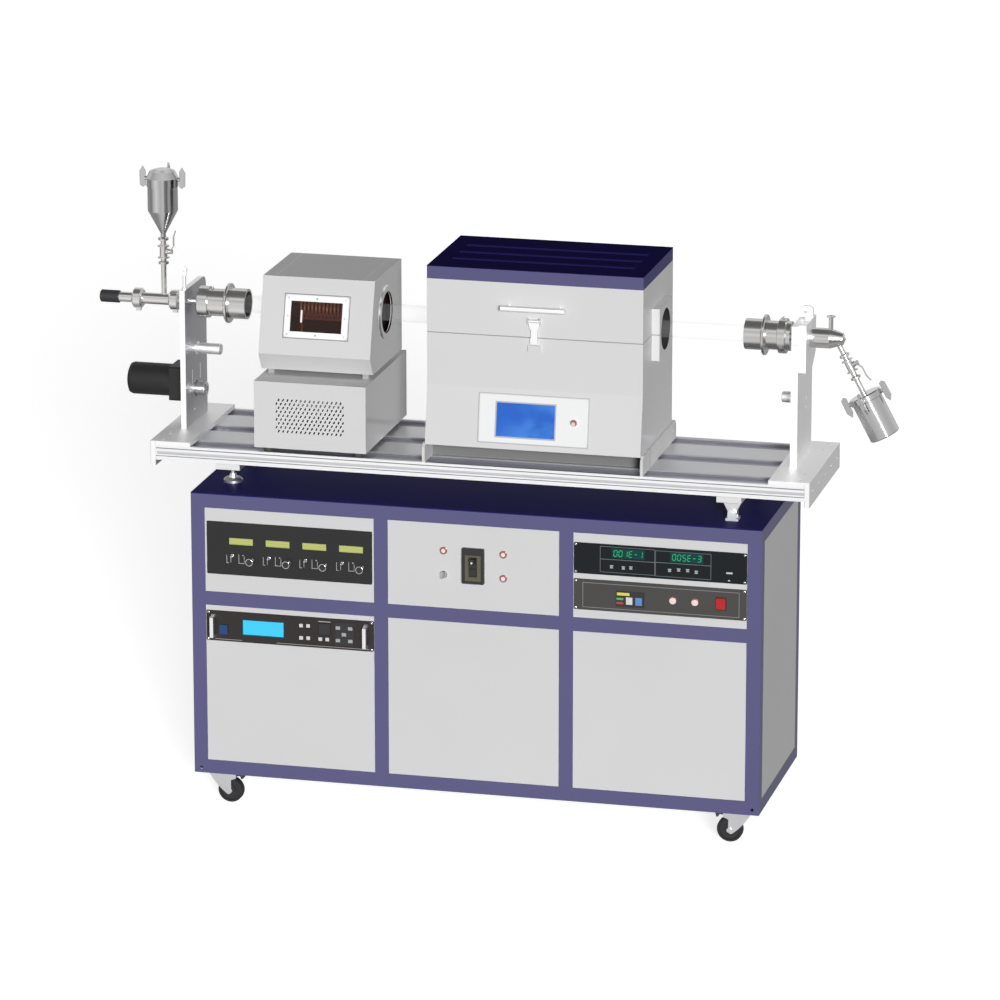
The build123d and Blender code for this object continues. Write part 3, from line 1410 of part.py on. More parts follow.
def wing_clamp(place, angle, inner, level):
    """A swing bolt and wing nut that holds a vessel's lid; level is its middle along place."""
    out = place.x_dir * cos(radians(angle)) + place.y_dir * sin(radians(angle))
    turn = Plane(origin=place.origin, x_dir=out, z_dir=place.z_dir)
    side = Plane(origin=turn.origin, x_dir=turn.x_dir, z_dir=-turn.y_dir)
    with BuildPart() as wing:
        with BuildSketch(side) as outline:
            with BuildLine():
                Polyline((inner + 4, level - 26), (inner + 12, level - 31), (inner + 21, level - 24),
                         (inner + 22, level + 16), (inner + 12, level + 32), (inner + 4, level + 18),
                         close=True)
            make_face()
        extrude(outline.sketch, amount=2.5, both=True)
        with Locations(Plane(origin=side.from_local_coords((inner + 3, level - 4, 0)), z_dir=turn.x_dir)):
            Cylinder(6, 6)
    return wing


vessel_pieces = []
hopper_place = Plane((feed_x, axis_y, 0))
bore = small_pipe_dia / 2 - sheet_steel
outer = hopper_dia / 2
neck_start = valve_start + 70
hopper_cone_bottom = neck_start + hopper_neck_length
hopper_cone_top = hopper_cone_bottom + hopper_cone_height
hopper_lid_z = hopper_cone_top + hopper_wall_height
hopper_top = hopper_lid_z + vessel_lid_height
with BuildPart() as hopper:
    turned_on(hopper_place, [
        (bore, neck_start), (kf_flange_dia / 2, neck_start), (kf_flange_dia / 2, neck_start + 3),
        (small_pipe_dia / 2, neck_start + 6), (small_pipe_dia / 2, hopper_cone_bottom),
        (outer, hopper_cone_top), (outer, hopper_lid_z), (outer - sheet_steel, hopper_lid_z),
        (outer - sheet_steel, hopper_cone_top + 0.5), (bore, hopper_cone_bottom + 0.5)])
vessel_pieces.append(hopper)
lid_radius = outer + 2.5
with BuildPart() as hopper_lid:
    turned_on(hopper_place, [
        (0, hopper_lid_z), (lid_radius, hopper_lid_z), (lid_radius, hopper_lid_z + vessel_lid_height * 0.5),
        (outer * 0.84, hopper_lid_z + vessel_lid_height * 0.9), (outer * 0.5, hopper_top), (0, hopper_top)])
    fillet(hopper_lid.edges().group_by(Axis.Z)[-1], radius=3)
vessel_pieces.append(hopper_lid)
for angle in (0, 90, 180):
    vessel_pieces.append(wing_clamp(hopper_place, angle, lid_radius + slip,
                         hopper_lid_z + vessel_lid_height * 0.5))
save_group(vessel_pieces, "feed_hopper")


# ================================================================ collection side
incline_plane = Plane(origin=(incline_x, axis_y, incline_z),
                      x_dir=(cos(radians(incline)), 0, sin(radians(incline))),
                      z_dir=(sin(radians(incline)), 0, -cos(radians(incline))))
port_x = 968
port_top = 1500
port_bore_dia = 8
port_bore_depth = 40
block_face = block_x0 + right_block_sheet
incline_valve = 38
outlet_pieces = []
with BuildPart() as outlet_line:
    turned_x([(right_collar_x - 30, 0), (right_collar_x - 30, pipe_radius), (block_face, pipe_radius),
              (block_face, outlet_pipe_dia / 2), (port_x, outlet_pipe_dia / 2), (incline_x + 14, 17),
              (incline_x + 21, 0)])
    turned_on(incline_plane, [
        (0, 0), (small_pipe_dia / 2, 0), (small_pipe_dia / 2, incline_valve - 6),
        (kf_flange_dia / 2, incline_valve - 3), (kf_flange_dia / 2, incline_valve), (0, incline_valve)])
    turned_on(Plane((port_x, axis_y, 0)), [
        (0, axis_z), (6.5, axis_z), (6.5, port_top - 5), (12.5, port_top - 3), (12.5, port_top),
        (0, port_top)])
    with Locations((port_x, axis_y, port_top - port_bore_depth / 2)):
        Cylinder(port_bore_dia / 2, port_bore_depth, mode=Mode.SUBTRACT)
outlet_pieces.append(outlet_line)
outlet_valve, outlet_stem = ball_valve(incline_plane, incline_valve, incline_plane.x_dir)
outlet_pieces.append(outlet_valve)
with BuildPart() as down_pipe:
    start = incline_valve + 70
    turned_on(incline_plane, [
        (0, start), (kf_flange_dia / 2, start), (kf_flange_dia / 2, start + 3),
        (small_pipe_dia / 2, start + 6),
        (small_pipe_dia / 2, canister_start - 12), (0, canister_start - 12)])
outlet_pieces.append(down_pipe)
save_group(outlet_pieces, "outlet_pipe")
valve_lever(outlet_stem, "collection_valve_lever")

canister_radius = canister_dia / 2
canister_end = canister_start + canister_length
canister_pieces = []
with BuildPart() as canister_lid:
    turned_on(incline_plane, [
        (0, canister_start - 12), (canister_radius + 1, canister_start - 12),
        (canister_radius + 4, canister_start - 9), (canister_radius + 4, canister_start),
        (0, canister_start)])
canister_pieces.append(canister_lid)
with BuildPart() as canister:
    inside = canister_radius - sheet_steel
    turned_on(incline_plane, [
        (inside, canister_start), (canister_radius + 4, canister_start),
        (canister_radius + 4, canister_start + 6),
        (canister_radius, canister_start + 8), (canister_radius, canister_end - 3),
        (canister_radius - 3, canister_end), (0, canister_end), (0, canister_end - sheet_steel),
        (inside - 2, canister_end - sheet_steel), (inside, canister_end - 4)])
canister_pieces.append(canister)
for angle in (0, 90, 180):
    canister_pieces.append(wing_clamp(incline_plane, angle, canister_radius + 4 + slip, canister_start + 4))
save_group(canister_pieces, "collection_canister")
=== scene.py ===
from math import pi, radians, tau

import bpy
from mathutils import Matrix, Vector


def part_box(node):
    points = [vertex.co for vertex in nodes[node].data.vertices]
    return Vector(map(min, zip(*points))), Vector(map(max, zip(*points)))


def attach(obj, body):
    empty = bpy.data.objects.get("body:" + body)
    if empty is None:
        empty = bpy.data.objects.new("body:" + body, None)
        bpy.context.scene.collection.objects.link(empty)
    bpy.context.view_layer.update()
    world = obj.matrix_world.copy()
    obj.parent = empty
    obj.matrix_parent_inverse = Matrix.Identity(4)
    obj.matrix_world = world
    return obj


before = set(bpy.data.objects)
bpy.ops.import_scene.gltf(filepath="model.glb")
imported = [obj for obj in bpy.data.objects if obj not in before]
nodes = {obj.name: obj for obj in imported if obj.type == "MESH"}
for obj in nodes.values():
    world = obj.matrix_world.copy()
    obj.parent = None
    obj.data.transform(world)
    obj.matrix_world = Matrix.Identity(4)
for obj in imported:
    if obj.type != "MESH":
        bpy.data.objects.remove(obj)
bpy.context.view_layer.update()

# %% [markdown]
# # A rotary tube furnace on a wheeled cabinet
#
# The imported model brings the machine's solids as ready objects. This lesson gives each of them its
# finish, adds the small pieces that a solid model leaves out, and lights and frames the result.

MM = 0.001

# %% [markdown]
# ## The camera
#
# The machine is seen from the front and a little from the right, through a long lens, so that its
# upright lines stay nearly parallel. The camera is placed at a given point and turned by two angles.

# %% Camera
azimuth, elevation, roll = radians(13.9755), radians(15.578), radians(0.0184)
focal_length, sensor_width = 208.975, 36
camera_place = (3.8749, -15.5293, 5.3563)
lens = bpy.data.cameras.new("camera")
lens.sensor_width = sensor_width
lens.lens = focal_length
lens.clip_end = 200
camera = bpy.data.objects.new("camera", lens)
camera.location = camera_place
camera.rotation_euler = (pi / 2 - elevation, roll, azimuth)
bpy.context.scene.collection.objects.link(camera)
bpy.context.scene.camera = camera
bpy.context.scene.view_settings.view_transform = "Standard"

# %% [markdown]
# ## Wiring a finish
#
# A finish is a small network of nodes. Writing it node by node hides its idea, so one class wraps a
# socket and lets plain arithmetic add the Math nodes, and another builds every other kind of node.

# %% Signals and finishes
class Signal:
    """A value on its way through a finish; arithmetic on it adds Math nodes."""

    def __init__(self, finish, socket):
        self.finish, self.socket = finish, socket

    def maths(self, operation, *values):
        return self.finish.node("ShaderNodeMath", {"operation": operation}, dict(enumerate(values)))

    def __add__(self, other):
        return self.maths("ADD", self, other)

    def __sub__(self, other):
        return self.maths("SUBTRACT", self, other)

    def __mul__(self, other):
        return self.maths("MULTIPLY", self, other)

    def __rsub__(self, other):
        return self.maths("SUBTRACT", other, self)

    def __abs__(self):
        return self.maths("ABSOLUTE", self)

    __radd__, __rmul__ = __add__, __mul__


class Finish:
    """One material of the machine while its nodes are being wired."""

    def __init__(self, name):
        self.material = bpy.data.materials.new(name)
        self.material.use_nodes = True
        self.tree = self.material.node_tree
        self.shader = self.tree.nodes["Principled BSDF"]
        self.place = self.node("ShaderNodeTexCoord", {}, {}, "Object")
        self.x, self.y, self.z = (self.node("ShaderNodeSeparateXYZ", {}, {0: self.place}, axis)
                                  for axis in "XYZ")

    def node(self, kind, settings, values, out=0):
        """Adds a node: its settings first, then the values or links of its sockets."""
        made = self.tree.nodes.new(kind)
        for key, setting in settings.items():
            if key == "stops":
                ramp = made.color_ramp
                while len(ramp.elements) < len(setting):
                    ramp.elements.new(1)
                for element, (position, colour) in zip(ramp.elements, setting):
                    element.position, element.color = position, (*colour, 1)
            else:
                setattr(made, key, setting)
        for key, value in values.items():
            if isinstance(value, Signal):
                self.tree.links.new(value.socket, made.inputs[key])
            else:
                made.inputs[key].default_value = value
        return Signal(self, made.outputs[out])

    def noise(self, scale, stretch=(1, 1, 1), detail=3.0):
        """Soft random values from 0 to 1; a large stretch makes them short along that axis."""
        spread = self.node("ShaderNodeMapping", {}, {0: self.place, "Scale": stretch})
        return self.node("ShaderNodeTexNoise", {}, {"Vector": spread, "Scale": scale, "Detail": detail})

    def above(self, value, edge, soft=0.0002):
        """0 below edge and 1 above it, with a soft change."""
        return self.node("ShaderNodeMapRange", {"interpolation_type": "SMOOTHSTEP"},
                         {0: value, 1: edge - soft, 2: edge + soft, 3: 0.0, 4: 1.0})

    def mix(self, share, first, second):
        """A colour between two colours."""
        values = {0: share}
        for key, colour in ((6, first), (7, second)):
            values[key] = colour if isinstance(colour, Signal) else (*colour, 1)
        return self.node("ShaderNodeMix", {"data_type": "RGBA"}, values, 2)

    def set(self, **values):
        """Sets or links sockets of the shader; an underscore stands for a space."""
        for key, value in values.items():
            socket = self.shader.inputs[key.replace("_", " ")]
            if isinstance(value, Signal):
                self.tree.links.new(value.socket, socket)
            else:
                socket.default_value = (*value, 1) if isinstance(value, tuple) else value

    def bump(self, height, depth, strength=1.0):
        """Turns a height signal into small relief; depth is in metres."""
        relief = self.node("ShaderNodeBump", {}, {"Height": height, "Distance": depth, "Strength": strength})
        self.set(Normal=relief)


def shade(colour, by):
    """The same colour, darker or lighter."""
    return tuple(channel * by for channel in colour)


def dress(finish, *names):
    """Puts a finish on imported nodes."""
    for name in names:
        slots = nodes[name].data.materials
        slots.clear()
        slots.append(finish.material)


# %% [markdown]
# ## Painted sheet
#
# Powder paint has a fine orange-peel relief, and a large face is never quite one tone. Both come
# from noise: a coarse, faint one for the tone and a fine one for the relief and the gloss.

# %% Paint
def paint(name, colour, rough=0.42, peel=0.00012, drift=0.05, sheen=0.2):
    """Powder paint with drifting tone and orange-peel relief; sheen is its share of plain gloss."""
    finish = Finish(name)
    cloud = finish.noise(2.3, detail=4)
    fine = finish.noise(650, detail=1)
    speck = finish.noise(160, detail=2)
    tone = finish.mix(cloud, shade(colour, 1 - drift), shade(colour, 1 + drift * 0.6))
    tone = finish.mix(finish.above(speck, 0.74, 0.03) * 0.25, tone, shade(colour, 0.8))
    finish.tone = tone
    finish.set(Base_Color=tone, Roughness=fine * 0.12 + (rough - 0.06), Specular_IOR_Level=sheen)
    finish.bump(fine, peel, 0.35)
    return finish


def gloss(finish, mask, weight=0.5):
    """A smooth clear coat where mask is 1, as on the faces that mirror the room."""
    finish.set(Coat_Weight=mask * weight, Coat_Roughness=0.04)


enamel = (0.117, 0.112, 0.238)
frame_enamel = paint("frame_enamel", enamel, 0.36)
# The cabinet top wears the frame's blue paint; its darker colour here is painted shade for a top that the
# light reaches less.
top_enamel_shaded = paint("top_enamel_shaded", (0.022, 0.019, 0.130), 0.5, drift=0.08, sheen=0.02)
panel_paint = paint("panel_paint", (0.69, 0.69, 0.695), 0.5)
dress(frame_enamel, "cabinet_frame")
dress(top_enamel_shaded, "cabinet_top")
dress(panel_paint, "cabinet_panels")

# %% [markdown]
# ### Seams, painted light and shade, and shiny sides
#
# Where two sheets meet there is a thin dark line. It is drawn by place: a function marks an upright
# rectangle, and a frame is the larger rectangle without the smaller one. Marks drawn this way also
# stand for light and shade: a painted shadow round the control plate, painted shade in the port, on
# the plinth's set-back front, inside the plasma box, on its posts and on the feet of its base, and a
# painted highlight along the seams of its top. The furnace and the plasma box have smooth glossy
# sides, which mirror the pale room, so their coat is masked by place as well.

# %% Marks by place, the furnace and the plasma box
def rectangle(finish, x_mid, z_mid, width, height, soft=0.0003):
    """1 inside an upright rectangle of a front face, 0 outside it; sizes in millimetres."""
    across = abs(finish.x - x_mid * MM)
    up = abs(finish.z - z_mid * MM)
    return (1 - finish.above(across, width / 2 * MM, soft)) * (1 - finish.above(up, height / 2 * MM, soft))


def outline(finish, x_mid, z_mid, width, height, line=1.2):
    """1 along the border of an upright rectangle."""
    inner = rectangle(finish, x_mid, z_mid, width - line, height - line)
    return rectangle(finish, x_mid, z_mid, width + line, height + line) - inner


def line_at(finish, along, place, width):
    """1 on a thin level or upright line across a whole piece; sizes in millimetres."""
    return 1 - finish.above(abs(along - place * MM), width / 2 * MM, 0.0004)


tube_axis = (0, -0.027, 1.435)


def near_tube(finish):
    """The distance in metres from the middle line of the process tube."""
    across = finish.node("ShaderNodeCombineXYZ", {}, {"Y": finish.y, "Z": finish.z})
    return finish.node("ShaderNodeVectorMath", {"operation": "DISTANCE"},
                       {0: across, 1: tube_axis}, "Value")


lid_seam, furnace_end = 1435, 473
plate_middle, plate_size = (163, 1200), (318, 138)
front_face, port_radius = -0.2, 0.0595
furnace_paint = paint("furnace_paint", (0.715, 0.715, 0.715), 0.45)
seam = line_at(furnace_paint, furnace_paint.z, lid_seam, 2.6)
on_front = 1 - furnace_paint.above(furnace_paint.y, front_face)
# A painted shadow runs round the control plate on the furnace front.
border = outline(furnace_paint, *plate_middle, *plate_size, 2.4) * on_front
marked = furnace_paint.mix(seam * 0.62, furnace_paint.tone, (0.10, 0.10, 0.10))
marked = furnace_paint.mix(border * 0.5, marked, (0.2, 0.2, 0.2))
# Inside the port's bore the paint is made near black: painted shade.
port_painted_shade = 1 - furnace_paint.above(near_tube(furnace_paint), port_radius)
furnace_paint.set(Base_Color=furnace_paint.mix(port_painted_shade, marked, (0.035, 0.033, 0.033)))
gloss(furnace_paint, furnace_paint.above(furnace_paint.x, furnace_end * MM), 0.35)
dress(furnace_paint, "furnace_body", "lid_shell")
plinth_paint = paint("plinth_paint", (0.715, 0.715, 0.715), 0.45)
recess_y = -158
# The plinth's set-back front face is painted darker: painted shade under the furnace body.
recess_painted_shade = line_at(plinth_paint, plinth_paint.y, recess_y, 3)
plinth_paint.set(Base_Color=plinth_paint.mix(recess_painted_shade, plinth_paint.tone, (0.20, 0.20, 0.20)))
dress(plinth_paint, "furnace_plinth")

box_paint = paint("box_paint", (0.69, 0.69, 0.69), 0.42)
box_middle, box_half, seam_inset = -484, 164, 36
window_z, window_width, window_height = 1444.5, 191, 121
box_top, box_back, box_low = 1.551, 0.150, 1.285
front_top_y, front_lean = 0.140, 0.2804
chin_low_y, chin_lean = 0.168, 0.6154
seam_above, inside_above, posts_top, sheet = 1.5505, 1.2853, 1.2852, 0.0012
from_middle = abs(box_paint.x - box_middle * MM)
on_top = box_paint.above(box_paint.z, seam_above)
# A pale line along the seams of the top is a painted highlight.
top_seam_highlight = line_at(box_paint, from_middle, box_half - seam_inset, 2.2) * on_top
window_edge = outline(box_paint, box_middle, window_z, window_width, window_height, 2.6)
marked = box_paint.mix(top_seam_highlight * 0.6, box_paint.tone, (1.0, 1.0, 1.0))
marked = box_paint.mix(window_edge * 0.7, marked, (0.08, 0.08, 0.08))
front_slope = (box_top - box_paint.z) * front_lean + box_paint.y + front_top_y
chin_slope = (box_paint.z - box_low) * chin_lean + box_paint.y + chin_low_y
# The inside of the box is painted near black: painted shade, where little light gets in.
inside_painted_shade = 1
for depth in (front_slope, chin_slope, box_back - box_paint.y, box_top - box_paint.z,
              box_paint.z - inside_above, box_half * MM - from_middle):
    inside_painted_shade = box_paint.above(depth, sheet) * inside_painted_shade
marked = box_paint.mix(inside_painted_shade, marked, (0.030, 0.020, 0.016))
# The posts below the box are painted darker: painted shade under the box.
posts_painted_shade = 1 - box_paint.above(box_paint.z, posts_top)
marked = box_paint.mix(posts_painted_shade * 0.5, marked, (0.12, 0.12, 0.12))
at_port = box_paint.above(from_middle, (box_half + 0.6) * MM)
box_paint.set(Base_Color=box_paint.mix(at_port, marked, (0.82, 0.82, 0.82)), Metallic=at_port,
              Roughness=(1 - at_port) * 0.22 + 0.2)
gloss(box_paint, box_paint.above(box_paint.x, (box_middle + box_half - 1) * MM))
dress(box_paint, "plasma_housing")
base_paint = paint("base_paint", (0.70, 0.70, 0.70), 0.42)
feet_top = 1.0748
# The feet in the gap under the base are painted near black: painted shade in that gap.
feet = 1 - base_paint.above(base_paint.z, feet_top)
base_paint.set(Base_Color=base_paint.mix(feet, base_paint.tone, (0.08, 0.08, 0.08)))
gloss(base_paint, base_paint.above(base_paint.x, (box_middle + box_half - 1) * MM))
dress(base_paint, "plasma_base")

# %% [markdown]
# ## Metal
#
# Rolled and turned metal shows fine lines along the way it was worked. A noise that is stretched
# along one axis gives them; it feeds the roughness and a very shallow relief, and the reflections
# do the rest.

# %% Worked metal
def metal(name, colour, rough, along="x", lines=0.10, relief=0.00003, scale=420, drift=0.06):
    """Bare metal with lines along an axis, or around it when along is 'none'."""
    finish = Finish(name)
    stretch = {"x": (0.02, 1, 1), "y": (1, 0.02, 1), "z": (1, 1, 0.02), "none": (1, 1, 1)}[along]
    grain = finish.noise(scale, stretch, 2)
    cloud = finish.noise(9, detail=4)
    tone = finish.mix(cloud, shade(colour, 1 - drift), shade(colour, min(1.0, 1 + drift)))
    tone = finish.mix(grain * 0.35, tone, shade(colour, 0.86))
    finish.set(Base_Color=tone, Metallic=1.0, Roughness=grain * lines + cloud * 0.06 + (rough - 0.06))
    finish.bump(grain, relief, 0.5)
    return finish


rail_metal = metal("rail_aluminium", (0.74, 0.74, 0.76), 0.38, "x")
plate_metal = metal("plate_aluminium", (0.93, 0.93, 0.93), 0.46, "z")
foot_metal = metal("foot_steel", (0.88, 0.88, 0.88), 0.36, "z")
handle_metal = metal("handle_steel", (0.86, 0.86, 0.86), 0.5, "x")
flange_metal = metal("turned_steel", (0.72, 0.71, 0.70), 0.2, "none", 0.06)
bright_metal = metal("polished_steel", (0.60, 0.60, 0.60), 0.12, "none", 0.05)
satin_metal = metal("satin_steel", (0.76, 0.76, 0.77), 0.5, "x")
lever_metal = metal("lever_steel", (0.62, 0.62, 0.63), 0.3, "x")
zinc = metal("zinc_plate", (0.80, 0.80, 0.82), 0.38, "none", 0.16, 0.00008, 130, 0.14)
dress(plate_metal, "end_plates", "tilt_brackets")
upright_metal = metal("upright_aluminium", (0.93, 0.93, 0.93), 0.46, "z")
upright_side = -895
shaded_face = line_at(upright_metal, upright_metal.x, upright_side, 1.4)
upright_metal.set(Base_Color=upright_metal.mix(shaded_face, (0.93, 0.93, 0.93), (0.50, 0.50, 0.52)))
dress(upright_metal, "tube_uprights")
dress(foot_metal, "support_feet", "rf_handles")
dress(satin_metal, "window_frame")
dress(handle_metal, "lid_handle", "latch_lever")
dress(flange_metal, "tube_flanges", "outlet_pipe")
dress(bright_metal, "feed_hopper", "collection_canister")
dress(lever_metal, "feed_valve_lever", "collection_valve_lever")
dress(zinc, "caster_plates", *(f"caster_fork_{i}" for i in range(1, 5)))

# %% [markdown]
# ### The slotted rails
#
# The anodised rails are paler on the front edge, where a bright strip runs between two dark slot
# lines, and the floors of their channels are greyer than the bands between them. All of this is
# painted light and shade: the paler, less metallic front is painted light, the slot lines are painted
# shadow under their lips, and the greyer floors are painted shade.

# %% Rails
below_bands, below_floor, rail_front = 1.058, 1.047, -0.2495
upper_slot, lower_slot = 1053.5, 1031
# Painted shade on the channel floors, painted light on the front face and painted shadow in its slots.
on_floor = (1 - rail_metal.above(rail_metal.z, below_bands)) * rail_metal.above(rail_metal.z, below_floor)
on_front = 1 - rail_metal.above(rail_metal.y, rail_front + 0.0008)
slot_painted_shadow = (line_at(rail_metal, rail_metal.z, upper_slot, 2.6)
              + line_at(rail_metal, rail_metal.z, lower_slot, 2.2)) * on_front
shaded = rail_metal.mix(on_floor, (0.64, 0.64, 0.66), (0.36, 0.36, 0.40))
front_painted_light = rail_metal.mix(on_front, shaded, (0.93, 0.93, 0.94))
rail_metal.set(Base_Color=rail_metal.mix(slot_painted_shadow, front_painted_light, (0.16, 0.16, 0.17)),
               Metallic=1 - on_front * 0.95)
dress(rail_metal, "platform_rails")

# %% [markdown]
# ## Plastic and rubber
#
# Moulded plastic is a plain colour with a fine grain from its mould. Tyres are duller.

# %% Plastic
def plastic(name, colour, rough=0.4, grain_depth=0.00008, coat=0.0):
    """Moulded plastic with the grain of its mould."""
    finish = Finish(name)
    grain = finish.noise(900, detail=1)
    cloud = finish.noise(14, detail=3)
    finish.set(Base_Color=finish.mix(cloud, shade(colour, 0.88), shade(colour, 1.08)),
               Roughness=grain * 0.1 + cloud * 0.08 + (rough - 0.08), Coat_Weight=coat)
    finish.bump(grain, grain_depth, 0.3)
    return finish


black_plastic = plastic("black_plastic", (0.018, 0.018, 0.02), 0.38)
knob_plastic = plastic("knob_plastic", (0.022, 0.022, 0.024), 0.24)
rubber = plastic("tyre_rubber", (0.016, 0.016, 0.017), 0.6)
blue_rocker = plastic("blue_rocker", (0.006, 0.05, 0.17), 0.3)
red_rocker = plastic("red_rocker", (0.5, 0.012, 0.016), 0.26)
brake_plastic = plastic("brake_pedal", (0.035, 0.035, 0.037), 0.5)
dress(knob_plastic, "breaker_box", "breaker_toggle", *(f"mfc_knob_{i}" for i in range(1, 5)))
dress(rubber, *(f"caster_wheel_{i}" for i in range(1, 5)))
dress(blue_rocker, "rf_rocker")
dress(red_rocker, "pump_rocker")
dress(brake_plastic, "brake_pedal_left", "brake_pedal_right")

# %% [markdown]
# ## Quartz and window glass
#
# The process tube is clear fused quartz. A thin clear wall hardly bends light, so most of it is
# left see-through and only the gloss at grazing angles is added; that keeps the far side bright.

# %% Clear quartz
def glass(name, colour, body, rim):
    """See-through material: body is its share head-on, rim its share at the edges."""
    finish = Finish(name)
    haze = finish.noise(6, (0.3, 1, 1), 3)
    edge = finish.node("ShaderNodeLayerWeight", {}, {"Blend": 0.35}, "Facing")
    finish.set(Base_Color=colour, Roughness=0.04, IOR=1.46,
               Alpha=edge * edge * (rim - body) + haze * 0.03 + (body - 0.015))
    return finish


quartz = glass("fused_quartz", (0.9, 0.92, 0.93), 0.02, 0.16)
window = glass("window_glass", (0.035, 0.012, 0.008), 0.42, 0.9)
# A thin glowing streak on the window glass is a painted reflection.
reflection_middle, reflection_size = (-528, 1445), (5, 34)
painted_reflection = rectangle(window, *reflection_middle, *reflection_size, 0.0012)
window.set(Emission_Color=window.mix(painted_reflection, (0, 0, 0), (1, 0.95, 0.92)), Emission_Strength=1.0,
           Alpha=painted_reflection * 0.5 + 0.42)
dress(quartz, "process_tube")
dress(window, "window_glass")

# %% [markdown]
# ## Inside the furnace
#
# The chamber is cast from white ceramic fibre, soft and slightly fluffy, and smoked dark where it
# faces the tube. The heating rods are coated iron alloy, dull and brown after firing, and the coil in
# the plasma box is bare copper.

# %% Fibre, heaters and copper
fibre = Finish("ceramic_fibre")
tufts = fibre.noise(90, detail=8)
wool = fibre.noise(14, detail=6)
clean_fibre = fibre.mix(wool, (0.62, 0.60, 0.55), (0.80, 0.79, 0.75))
smoked = 1 - fibre.above(near_tube(fibre), 0.075, 0.02)
fibre.set(Base_Color=fibre.mix(smoked, clean_fibre, (0.16, 0.15, 0.14)), Roughness=0.95)
fibre.bump(tufts, 0.0012, 0.8)
dress(fibre, "furnace_insulation", "lid_insulation")
heater = plastic("fired_alloy", (0.10, 0.065, 0.05), 0.7, 0.0003)
dress(heater, "heating_elements")
copper = metal("copper_tube", (0.80, 0.33, 0.17), 0.28, "none", 0.12, 0.00004, 160, 0.2)
# The copper glows faintly: painted light, so that the coil shows through the dark window.
copper.set(Emission_Color=(0.30, 0.10, 0.06), Emission_Strength=0.35)
dress(copper, "rf_coil")

# %% [markdown]
# ## The drive and the feed line
#
# The motor is black painted cast aluminium with a turned steel shaft and pulley. On the feed line
# the dead end carries a rubber cap, and the clamps and pipe are steel, so its finish changes with
# the place along the line.

# %% Motor and feed line
motor_black = paint("motor_black", (0.018, 0.0165, 0.017), 0.5, 0.0002, 0.12, 0.3)
dress(motor_black, "drive_motor")
dress(flange_metal, "motor_pulley")
feed_line = metal("feed_line_steel", (0.74, 0.73, 0.72), 0.2, "none", 0.06)
line_start, cap_length = -1168, 56
cap_end = line_start * MM + cap_length * MM
is_pipe = feed_line.above(feed_line.x, cap_end + 0.0004, 0.0003)
capped = feed_line.mix(is_pipe, (0.02, 0.02, 0.023), (0.74, 0.73, 0.72))
feed_line.set(Metallic=is_pipe, Base_Color=capped, Roughness=(1 - is_pipe) * 0.35 + 0.2)
dress(feed_line, "feed_pipe")

# %% [markdown]
# ## Instrument faces
#
# The four instruments in the cabinet have dark anodised faces with printed marks and lit windows.
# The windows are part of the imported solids, so the finish lights them by place, with the same
# rectangles as before: the mask chooses the colour and the glow there.

# %% Instrument faces
def face_finish(name, colour, rough=0.45):
    """Dark anodised face: nearly even in tone."""
    finish = Finish(name)
    cloud = finish.noise(5, detail=4)
    grain = finish.noise(700, (1, 1, 1), 1)
    finish.tone = finish.mix(cloud, shade(colour, 0.85), shade(colour, 1.12))
    finish.set(Base_Color=finish.tone, Roughness=grain * 0.12 + (rough - 0.06), Specular_IOR_Level=0.25)
    finish.bump(grain, 0.00006, 0.3)
    return finish


# %% [markdown]
# ### Gas flow controller
#
# Four channels stand side by side at even steps. Each has a green liquid-crystal window, lit from
# behind; faint darker stripes are the rows of its cells. The printed marks are the same for each
# channel, so the place along the face is wrapped to one step and they are drawn only once.

# %% Gas flow controller
first_channel, channel_step, channel_count = -682.45, 108.3, 4
window_level, window_size = 800, (70, 19)
channel_x = [first_channel + channel_step * i for i in range(channel_count)]
flow_face = face_finish("flow_face", (0.024, 0.023, 0.0235))
windows = 0.0
for x_mid in channel_x:
    windows = rectangle(flow_face, x_mid, window_level, *window_size) + windows
rows = flow_face.node("ShaderNodeTexWave", {"bands_direction": "Z"},
                      {"Vector": flow_face.place, "Scale": 42.0, "Distortion": 0.0})
green = flow_face.mix(rows, (0.42, 0.46, 0.14), (0.50, 0.53, 0.19))
whole_x = flow_face.x
from_first = whole_x - first_channel * MM
flow_face.x = from_first.maths("WRAP", from_first, channel_step / 2 * MM, -channel_step / 2 * MM)
bars = ((-43, 747, 1.6, 24), (-40, 735.6, 6, 1.6), (-7, 748.5, 1.6, 27), (1, 736, 17, 1.6),
        (5.3, 760, 4, 3), (-31, 747, 1.4, 20), (9, 747, 1.4, 20), (13, 740, 1.4, 9))
printed = 0.0
for bar in bars:
    printed = rectangle(flow_face, *bar) + printed
flow_face.x = whole_x
printed = printed * rectangle(flow_face, -540, 752, 470, 60)
marked = flow_face.mix(printed * 0.75, flow_face.tone, (0.62, 0.62, 0.62))
flow_face.set(Base_Color=flow_face.mix(windows, marked, green),
              Emission_Color=flow_face.mix(windows, (0, 0, 0), green), Emission_Strength=0.12)
dress(flow_face, "mass_flow_controller")

# %% [markdown]
# ### Radio-frequency generator, gauge and pump controller
#
# The generator has one wide blue screen. The gauge has two dark green windows in which the digits
# stand, and the pump controller has no window at all.

# %% Other instruments
rf_face = face_finish("generator_face", (0.028, 0.024, 0.023))
screen_middle = (-619.5, 546)
screen = rectangle(rf_face, *screen_middle, 120, 42.6)
rim = rectangle(rf_face, *screen_middle, 124, 46.6) - screen
blue = (0.058, 0.57, 0.96)
slot_x, slot_z = -438, 557.8
